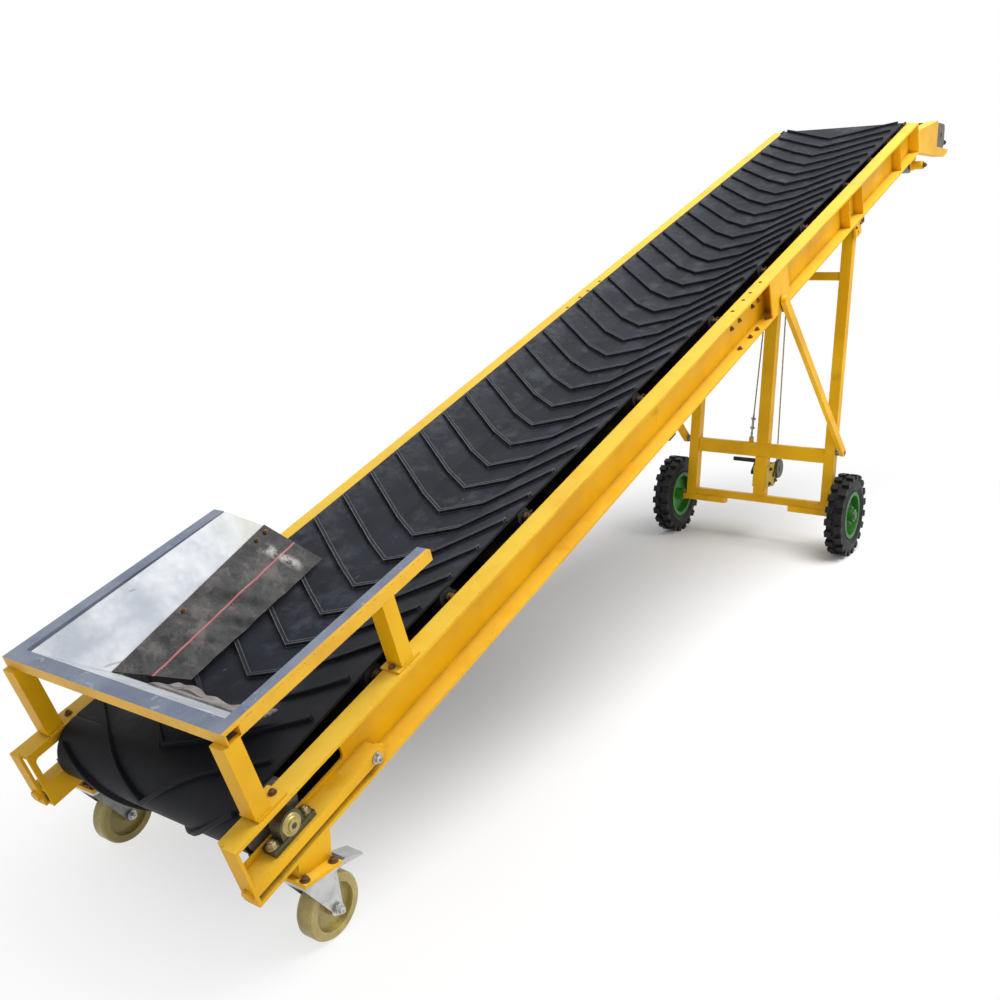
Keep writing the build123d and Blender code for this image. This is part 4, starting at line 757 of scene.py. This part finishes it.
def castor_hardware():
    """Bolts that hold the castor plates under their mounts, and the axle nuts."""
    bolts = Hardware()
    for side in BOTH:
        for x in PLATE_BOLT_X:
            for y in PLATE_BOLT_Y:
                bolts.bolt(Vector((TAIL_X + SWIVEL_X + x, side * y, PLATE_TOP_Z)), UP, PLATE_BOLT)
    bolts.piece("castor_plate_bolts", RUST_BOLT, "boom", "steel")
    for name, _ in NAMED_SIDES:
        axle = Vector(JOINTS["castor_%s_spin" % name]["pos_m"])
        low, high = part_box("castor_fork_" + name)
        nuts = Hardware()
        for way, face in ((LEFT, high[1]), (RIGHT, low[1])):
            nuts.bolt(Vector((axle.x, face - way.y * SEATED, axle.z)), way, AXLE_NUT)
        nuts.piece("castor_axle_nuts_" + name, BRIGHT_STEEL, "castor_" + name, "steel")


RIM_BOLTS = 5
RIM_BOLT_R = 0.066
RIM_BOLT_OUT = 0.006
# Share of the bolts' spacing by which the first one is turned
RIM_BOLT_TURNED = 0.25
RIM_BOLT = 0.016
HUB_OUT = 0.045
# radius, height, sides, top
HUB_NUT = (0.0235, 0.0062, 6, 0.94)


def wheel_hardware():
    """Bolts of the rims, and nuts on the wheels' spindles."""
    for name, side in NAMED_SIDES:
        outward = LEFT * side
        centre = Vector((WHEEL.x, side * abs(WHEEL.y), WHEEL.z))
        bolts = Hardware()
        for index in range(RIM_BOLTS):
            turn = math.tau * (index + RIM_BOLT_TURNED) / RIM_BOLTS
            off = Vector((math.cos(turn), 0, math.sin(turn))) * RIM_BOLT_R
            bolts.bolt(centre + off + outward * RIM_BOLT_OUT, outward, RIM_BOLT)
        bolts.piece("rim_bolts_" + name, DULL_STEEL, "wheel_" + name, "steel")
    nuts = Hardware()
    for side in BOTH:
        hub = Vector((WHEEL.x, side * (abs(WHEEL.y) + HUB_OUT), WHEEL.z))
        nuts.prism(hub, LEFT * side, *HUB_NUT)
    return nuts.piece("hub_nuts", CAST, "undercarriage", "cast")


HINGE_BOLT_S = (4.10, 4.165)
HINGE_BOLT_Y = 0.396
HINGE_BOLT_H = -0.012
HINGE_BOLT = 0.010
SNUB_X = TAIL_X + 5.056
SNUB_Z = 1.896
SNUB_BOLT = 0.022


def hinge_hardware():
    """Heads of the bolts in the hinge plates and at the ends of the pressing roller."""
    bolts = Hardware()
    for side in BOTH:
        for s in HINGE_BOLT_S:
            bolts.bolt(boom(s, side * HINGE_BOLT_Y, HINGE_BOLT_H), LEFT * side, HINGE_BOLT)
    bolts.piece("hinge_bolts", RUST_BOLT, "boom", "steel")
    low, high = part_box("snub_brackets")
    ends = Hardware()
    for face, outward in ((high[1], LEFT), (low[1], RIGHT)):
        ends.bolt(Vector((SNUB_X, face - outward.y * SEATED, SNUB_Z)), outward, SNUB_BOLT)
    return ends.piece("snub_bolts", CAST, "boom", "cast")


ROPE_R = 0.0034
STRANDS = 6
# Distance along the rope in which its strands make half a turn, and between its rows of corners
ROPE_HALF_TURN = 0.034
ROPE_STEP = 0.0045


def lobed_rope(bm, start, end):
    """Wire rope between two places, with its strands twisted round it."""
    axis = (end - start).normalized()
    side = axis.orthogonal().normalized()
    other = axis.cross(side)
    length = (end - start).length
    rings = max(2, round(length / ROPE_STEP))
    around = STRANDS * 3
    rows = []
    for ring in range(rings + 1):
        along = length * ring / rings
        twist = math.tau * along / ROPE_HALF_TURN / 2
        row = []
        for index in range(around):
            turn = math.tau * index / around
            swell = ROPE_R * (0.86 + 0.14 * math.cos(STRANDS * turn))
            place = start + axis * along
            place += (side * math.cos(turn + twist) + other * math.sin(turn + twist)) * swell
            row.append(bm.verts.new(place))
        rows.append(row)
    for low, high in zip(rows, rows[1:]):
        join_rings(bm, low, high)
    bm.faces.new(list(reversed(rows[0])))
    bm.faces.new(rows[-1])


RING_SIDES = 8


def add_ring(bm, centre, normal, radius, thick, turns=28):
    """Round eye, or one coil of wire."""
    matrix = turned_to(normal.normalized(), centre)
    rows = []
    for index in range(turns):
        turn = math.tau * index / turns
        out = Vector((math.cos(turn), math.sin(turn), 0))
        row = []
        for corner in range(RING_SIDES):
            roll = math.tau * corner / RING_SIDES
            local = out * (radius + thick * math.cos(roll)) + UP * (thick * math.sin(roll))
            row.append(bm.verts.new(matrix @ local))
        rows.append(row)
    for index in range(turns):
        low, high = rows[index], rows[(index + 1) % turns]
        for corner in range(RING_SIDES):
            following = (corner + 1) % RING_SIDES
            bm.faces.new((low[corner], high[corner], high[following], low[following]))


# Places on the ladder: ahead of the axle and Y of each wire's top, and distances up the ladder
LEFT_WIRE = (-0.005, 0.024)
RIGHT_WIRE = (0.022, -0.064)
EYE_UP = 1.103
HOOK_UP = 1.126
ANCHOR_Y = 0.055
ANCHOR_HOLE_UP = 0.331
ANCHOR_EYE_UP = 0.353
DRUM_AHEAD = 0.125
DRUM_UP = 0.176
DRUM_COIL_R = 0.0262
WIRE_LEAVES = (DRUM_AHEAD + 0.0275, -0.034, DRUM_UP)
# Shares of a wire's length
WIRE_END = 0.012
BUCKLE_FROM = 0.040
BUCKLE_TO = 0.105
# Radius of each eye, and of the wire that it is bent from
ANCHOR_EYE = (0.009, 0.003)
ANCHOR_RING = (0.012, 0.0035)
WIRE_EYE = (0.011, 0.0035)
# radius, height, sides
SHANK = (0.005, 0.017, 12)
HOOK_NUT = (0.013, 0.006, 6)
COLLAR = (0.0115, 0.010, 12)
SCREW = (0.0046, 0.018, 12)
SHANK_FROM = 0.35
BAR_OUT = 0.0085
BAR_R = 0.0028
BAR_SIDES = 10
# Where the turnbuckle's collars and screws start from its lower and upper end
COLLAR_STARTS = (-0.004, -0.006)
SCREW_STARTS = (-0.021, 0.003)


def rigging():
    """The winch's taut wires between the top bar, the anchor and the drum, with their fittings."""
    wires = bmesh.new()
    anchor_eye = ladder(0.0, ANCHOR_Y, ANCHOR_EYE_UP)
    left_top = ladder(*LEFT_WIRE, EYE_UP)
    span = left_top - anchor_eye
    buckle_low = anchor_eye + span * BUCKLE_FROM
    buckle_high = anchor_eye + span * BUCKLE_TO
    lobed_rope(wires, buckle_high, left_top - span * WIRE_END)
    right_top = ladder(*RIGHT_WIRE, EYE_UP)
    drum_side = ladder(*WIRE_LEAVES)
    lobed_rope(wires, drum_side, right_top - (right_top - drum_side) * WIRE_END)
    add_piece(wires, "winch_wires", ROPE, "undercarriage")

    fittings = Hardware()
    add_ring(fittings.mesh, anchor_eye, LEFT, *ANCHOR_EYE)
    for eye, wire in ((left_top, LEFT_WIRE), (right_top, RIGHT_WIRE)):
        hook = ladder(*wire, HOOK_UP)
        upwards = (hook - eye).normalized()
        add_ring(fittings.mesh, eye, LEFT, *WIRE_EYE)
        fittings.prism(eye + (hook - eye) * SHANK_FROM, upwards, *SHANK)
        fittings.prism(hook - upwards * HOOK_NUT[1], upwards, *HOOK_NUT)
    # Turnbuckle: two side bars, a collar at each end, and a screw out of each collar
    along = (buckle_high - buckle_low).normalized()
    length = (buckle_high - buckle_low).length
    sideways = LEFT.cross(along).normalized()
    for way in (BAR_OUT, -BAR_OUT):
        fittings.prism(buckle_low + sideways * way, along, BAR_R, length, BAR_SIDES)
    for shape, starts in ((COLLAR, COLLAR_STARTS), (SCREW, SCREW_STARTS)):
        for place, start in zip((buckle_low, buckle_high), starts):
            fittings.prism(place + along * start, along, *shape)
    add_ring(fittings.mesh, ladder(0.0, ANCHOR_Y, ANCHOR_HOLE_UP), RIGHT, *ANCHOR_RING)
    return fittings.piece("rigging_fittings", DULL_STEEL, "undercarriage", "steel")


GEAR_Y = -0.056
GEAR_TEETH = 30
GEAR_ROOT_R = 0.0455
# radius, height, sides, top
GEAR_TOOTH = (0.0042, 0.0052, 4, 0.6)
WINCH_PLATE_Y = -0.049
STUB_R = 0.014
STUB_SIDES = 24
STUB_TOP = 0.92
WINCH_BOLT = 0.014
# Ahead of the axle and up the ladder, then how far each stub reaches out
WINCH_STUBS = ((DRUM_AHEAD, DRUM_UP, 0.0165), (0.072, 0.150, 0.008))
WINCH_BOLTS = ((0.10, 0.115), (0.02, 0.180), (0.02, 0.105))
COILS = 7
FIRST_COIL_Y = 0.009
COIL_PITCH = 0.0068
COIL_TURNS = 32


def winch_details():
    """Gear teeth, shaft stubs and plate bolts of the winch, and the coils of wire on its drum."""
    teeth = Hardware()
    centre = ladder(DRUM_AHEAD, GEAR_Y, DRUM_UP)
    forward = ladder(1.0, 0.0, 0.0) - ladder(0.0, 0.0, 0.0)
    upward = ladder(0.0, 0.0, 1.0) - ladder(0.0, 0.0, 0.0)
    for index in range(GEAR_TEETH):
        turn = math.tau * index / GEAR_TEETH
        out = forward * math.cos(turn) + upward * math.sin(turn)
        teeth.prism(centre + out * GEAR_ROOT_R, out, *GEAR_TOOTH)
    for ahead, up, length in WINCH_STUBS:
        base = ladder(ahead, WINCH_PLATE_Y, up)
        teeth.prism(base, RIGHT, STUB_R, length, STUB_SIDES, STUB_TOP)
    for ahead, up in WINCH_BOLTS:
        teeth.bolt(ladder(ahead, WINCH_PLATE_Y, up), RIGHT, WINCH_BOLT)
    teeth.piece("winch_gear_teeth", CAST, "undercarriage", "cast")
    coils = bmesh.new()
    for index in range(COILS):
        place = ladder(DRUM_AHEAD, FIRST_COIL_Y - index * COIL_PITCH, DRUM_UP)
        add_ring(coils, place, LEFT, DRUM_COIL_R, ROPE_R, COIL_TURNS)
    return add_piece(coils, "winch_coils", ROPE, "undercarriage")


# The V ridges: half width, distance that an arm sweeps, pitch, and where the first solid one starts
RIDGE_REACH = 0.302
RIDGE_SWEEP = 0.198
RIDGE_PITCH = 0.13785
RIDGE_FIRST = 0.426
TAIL_RIDGES = 5
RIDGE_STEPS = 26
AHEAD_STEP = 0.01
# Section of a ridge in millimetres: across it, and out from the belt
RIDGE_SECTION = ((-7, -1.0), (-6.4, 9.5), (-4.8, 12), (4.8, 12), (6.4, 9.5), (7, -1.0))
# The ridges end here, nearly half way round the tail pulley
WRAP_END = PULLEY_S - WRAP_R * math.pi * 0.97
RAY_START_H = 0.34


def belt_surface():
    """Function that gives the place and the outward normal at a distance along the belt."""
    node = NODES["belt"]
    corners = [node.matrix_world @ corner.co for corner in node.data.vertices]
    tree = BVHTree.FromPolygons(corners, [tuple(face.vertices) for face in node.data.polygons])

    def place(distance, y):
        if distance >= PULLEY_S:
            hit, normal, _, _ = tree.ray_cast(boom(distance, y, RAY_START_H), -OFF_SLOPE)
            return hit, (normal if normal.dot(OFF_SLOPE) > 0 else -normal)
        turn = (PULLEY_S - distance) / WRAP_R
        out = -UP_SLOPE * math.sin(turn) + OFF_SLOPE * math.cos(turn)
        return boom(PULLEY_S, y, PULLEY_H) + out * WRAP_R, out

    return place


def tail_ridges():
    """Ridges on the flat stretch behind the table and round the tail pulley."""
    surface = belt_surface()
    bm = bmesh.new()
    for back in range(1, TAIL_RIDGES + 1):
        start = RIDGE_FIRST - back * RIDGE_PITCH
        for side in BOTH:
            rows = []
            for step in range(RIDGE_STEPS + 1):
                part = step / RIDGE_STEPS
                distance = start + RIDGE_SWEEP * part
                if distance < WRAP_END:
                    continue
                at, out = surface(distance, side * RIDGE_REACH * part)
                ahead, _ = surface(
                    distance + RIDGE_SWEEP * AHEAD_STEP,
                    side * (RIDGE_REACH * (part + AHEAD_STEP)),
                )
                across = (ahead - at).normalized().cross(out).normalized()
                rows.append([
                    bm.verts.new(at + across * wide / 1000 + out * high / 1000)
                    for wide, high in RIDGE_SECTION
                ])
            for low, high in zip(rows, rows[1:]):
                join_rings(bm, low, high)
            if len(rows) > 1:
                bm.faces.new(list(reversed(rows[0])))
                bm.faces.new(rows[-1])
    bmesh.ops.recalc_face_normals(bm, faces=bm.faces)
    return add_piece(bm, "tail_ridges", RIDGE, "boom")


def slab(name, places, pushed, cols, rows, wave, material):
    """Rubber piece between two four-cornered faces, bent by a wave, with its shares written on it.

    Corners come as upper and lower in front, then upper and lower at the rear. The mesh keeps the
    share across from upper to lower and the share along from front to rear.
    """
    bm = bmesh.new()
    across = bm.verts.layers.float.new("across")
    along = bm.verts.layers.float.new("along")
    sheets = []
    for corners in (places, pushed):
        sheet = []
        for col in range(cols + 1):
            line = []
            u = col / cols
            for row in range(rows + 1):
                v = row / rows
                upper = corners[0].lerp(corners[2], u)
                lower = corners[1].lerp(corners[3], u)
                vert = bm.verts.new(upper.lerp(lower, v) + wave(u, v))
                vert[across] = v
                vert[along] = u
                line.append(vert)
            sheet.append(line)
        sheets.append(sheet)
    near, far = sheets
    for col in range(cols):
        ahead = col + 1
        for row in range(rows):
            down = row + 1
            bm.faces.new((near[col][row], near[col][down], near[ahead][down], near[ahead][row]))
            bm.faces.new((far[col][row], far[ahead][row], far[ahead][down], far[col][down]))
    for col in range(cols):
        for row in (0, rows):
            bm.faces.new((near[col][row], near[col + 1][row], far[col + 1][row], far[col][row]))
    for row in range(rows):
        for col in (0, cols):
            bm.faces.new((near[col][row], near[col][row + 1], far[col][row + 1], far[col][row]))
    bmesh.ops.recalc_face_normals(bm, faces=bm.faces)
    return add_piece(bm, name, material, "boom")


# Corners on the boom: distance, Y, height; upper then lower, in front then at the rear
STRIP = (
    (0.233, 0.233, 0.270), (0.351, 0.119, 0.178), (0.842, 0.279, 0.3005), (0.903, 0.164, 0.161),
)
FLAP = (
    (0.238, 0.105, 0.2609), (0.310, 0.105, 0.190), (0.238, -0.215, 0.2609), (0.310, -0.215, 0.190),
)
# Columns and rows of each one's mesh
STRIP_GRID = (96, 20)
FLAP_GRID = (72, 22)
SKIN_T = 0.005
STRIP_BOLT_SHARES = (0.39, 0.90, 0.965)
STRIP_BOLT_DOWN = 0.10
STRIP_BOLT = 0.008


def corner_places(corners):
    """The four corners in the shared frame, and the normal of the face that they span."""
    places = [boom(*corner) for corner in corners]
    return places, (places[2] - places[0]).cross(places[1] - places[0]).normalized()


def chute_strip():
    """Belt offcut that hangs from the left sheet, a little wavy, with the bolts along its top."""
    places, normal = corner_places(STRIP)
    heights = [(point - places[0]).dot(normal) for point in node_points("skirt_strip")]
    outwards = max(heights) > SKIN_T * 0.8
    pushed = [place + normal * (SKIN_T if outwards else -SKIN_T) for place in places]

    def wave(u, v):
        bend = 0.0035 * math.sin(u * 17.0 + 1.3 * v) + 0.0025 * math.sin(u * 41.0 - 3.0 * v + 1.0)
        return normal * bend * (0.15 + v) * math.sin(math.pi * min(1.0, u * 1.02))

    piece = slab("chute_strip", places, pushed, *STRIP_GRID, wave, SKIRT)
    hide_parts("skirt_strip")
    bolts = Hardware()
    facing = normal if normal.dot(OFF_SLOPE) > 0 else -normal
    seat = facing * (SKIN_T - SEATED if outwards else SEATED)
    for share in STRIP_BOLT_SHARES:
        upper = places[0].lerp(places[2], share)
        lower = places[1].lerp(places[3], share)
        bolts.bolt(upper.lerp(lower, STRIP_BOLT_DOWN) + seat, facing, STRIP_BOLT)
    bolts.piece("strip_bolts", RUST_BOLT, "boom", "steel")


def folded_flap():
    """Worn flap behind the front sheet, wavy and sagging."""
    places, facing = corner_places(FLAP)
    if facing.dot(OFF_SLOPE) < 0:
        facing = -facing
    pushed = [place + facing * SKIN_T for place in places]

    def wave(u, v):
        fold = 0.006 * math.sin(v * 9.0 + 1.6 * math.sin(u * 5.0)) * v
        ripple = 0.004 * math.sin(u * 23.0 + v * 4.0) * v
        sag = UP_SLOPE * 0.010 * math.sin(u * 7.0 + 0.6) * v * v
        return facing * (fold + ripple) + sag

    piece = slab("folded_flap", places, pushed, *FLAP_GRID, wave, FLAP_RUBBER)
    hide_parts("front_flap")


FLOOR_REACH = 60.0
# The floor keeps its shadow near the machine and is plain white beyond
FADE_STRETCH = (0.50, 1.0, 1.0)
FADE_FROM, FADE_TO = 0.55, 1.75
WHITE = (1, 1, 1, 1)


def seen_rays(tree):
    """1 for the rays that look at a surface straight, in a reflection or through glass."""
    path = tree.nodes.new("ShaderNodeLightPath")
    seen = path.outputs["Is Camera Ray"]
    for kind in ("Is Glossy Ray", "Is Transmission Ray"):
        either = tree.nodes.new("ShaderNodeMath")
        either.operation = "MAXIMUM"
        tree.links.new(seen, either.inputs[0])
        tree.links.new(path.outputs[kind], either.inputs[1])
        seen = either.outputs[0]
    return seen


def lay_floor():
    """Pale floor that keeps the shadow near the machine and fades to white away from it."""
    mesh = bpy.data.meshes.new("floor")
    signs = ((-1, -1), (1, -1), (1, 1), (-1, 1))
    corners = [(x * FLOOR_REACH, y * FLOOR_REACH, 0) for x, y in signs]
    mesh.from_pydata(corners, [], [(0, 1, 2, 3)])
    floor = bpy.data.objects.new("floor", mesh)
    bpy.context.scene.collection.objects.link(floor)
    shade = Shade("floor")
    colour = shade.blend(shade.noise(2.0, 3.0), (0.90, 0.90, 0.90), (0.94, 0.94, 0.94))
    shade.finish(colour, 0.9)
    glow = shade.node("Emission")
    glow.inputs["Color"].default_value = WHITE
    glow.inputs["Strength"].default_value = 1.0
    distance = shade.node("VectorMath", operation="LENGTH")
    shade.feed(distance.inputs[0], shade.scaled(FADE_STRETCH))
    away = shade.band(distance.outputs["Value"], FADE_FROM, FADE_TO)
    mixed = shade.node("MixShader")
    shade.feed(mixed.inputs[0], shade.times(away, seen_rays(shade.tree)))
    shade.tree.links.new(shade.surface.outputs[0], mixed.inputs[1])
    shade.tree.links.new(glow.outputs[0], mixed.inputs[2])
    output = shade.tree.nodes["Material Output"]
    shade.tree.links.new(mixed.outputs[0], output.inputs["Surface"])
    mesh.materials.append(shade.material)


CAMERA_AT = Vector((-2.7605 - 1.29886, -1.91732, 1.54081))
CAMERA_YAW = 0.606626694
CAMERA_PITCH = 0.241522262
CAMERA_ROLL = -0.0196866615
CAMERA_LENS = 38.044
SENSOR = 36.0


def aim_camera():
    """Camera at the photograph's place and angle."""
    data = bpy.data.cameras.new("camera")
    data.sensor_width = SENSOR
    data.sensor_height = SENSOR
    data.lens = CAMERA_LENS
    data.clip_end = 400.0
    level = math.cos(CAMERA_PITCH)
    forward = Vector((
        level * math.cos(CAMERA_YAW), level * math.sin(CAMERA_YAW), -math.sin(CAMERA_PITCH),
    ))
    across = forward.cross(UP).normalized()
    over = across.cross(forward)
    turn, tilt = math.cos(CAMERA_ROLL), math.sin(CAMERA_ROLL)
    right = across * turn + over * tilt
    upward = over * turn - across * tilt
    matrix = Matrix((right, upward, -forward)).transposed().to_4x4()
    matrix.translation = CAMERA_AT
    camera = bpy.data.objects.new("camera", data)
    camera.matrix_world = matrix
    bpy.context.scene.collection.objects.link(camera)
    bpy.context.scene.camera = camera


WORLD_COLOUR = (0.96, 0.98, 1.0, 1.0)
WORLD_LEVEL = 0.50
LAMPS = (
    # name, place, target, width, power
    ("key", (0.8, -2.2, 6.5), (0.2, 0.0, 0.6), 5.0, 430.0),
    ("front", (-4.5, -6.0, 2.6), (-0.5, 0.0, 0.9), 3.5, 45.0),
)


def light_studio():
    """Even soft light from all round, a big soft lamp above and a weak one ahead."""
    world = bpy.data.worlds.new("studio")
    bpy.context.scene.world = world
    world.use_nodes = True
    tree = world.node_tree
    tree.nodes.clear()
    output = tree.nodes.new("ShaderNodeOutputWorld")
    mixed = tree.nodes.new("ShaderNodeMixShader")
    tree.links.new(seen_rays(tree), mixed.inputs[0])
    for socket, colour, strength in ((1, WORLD_COLOUR, WORLD_LEVEL), (2, WHITE, 1.0)):
        sky = tree.nodes.new("ShaderNodeBackground")
        sky.inputs["Color"].default_value = colour
        sky.inputs["Strength"].default_value = strength
        tree.links.new(sky.outputs[0], mixed.inputs[socket])
    tree.links.new(mixed.outputs[0], output.inputs["Surface"])
    for name, place, target, size, energy in LAMPS:
        data = bpy.data.lights.new(name, "AREA")
        data.shape = "DISK"
        data.size = size
        data.energy = energy
        lamp = bpy.data.objects.new(name, data)
        aim = (Vector(target) - Vector(place)).to_track_quat("-Z", "Y")
        lamp.matrix_world = Matrix.Translation(Vector(place)) @ aim.to_matrix().to_4x4()
        bpy.context.scene.collection.objects.link(lamp)


dress_nodes()
idler_nuts()
splice_hardware()
stand_hardware()
tail_bearing_hardware()
castor_hardware()
wheel_hardware()
hinge_hardware()
rigging()
winch_details()
tail_ridges()
chute_strip()
folded_flap()
lay_floor()
aim_camera()
light_studio()
bpy.context.scene.view_settings.view_transform = "Standard"
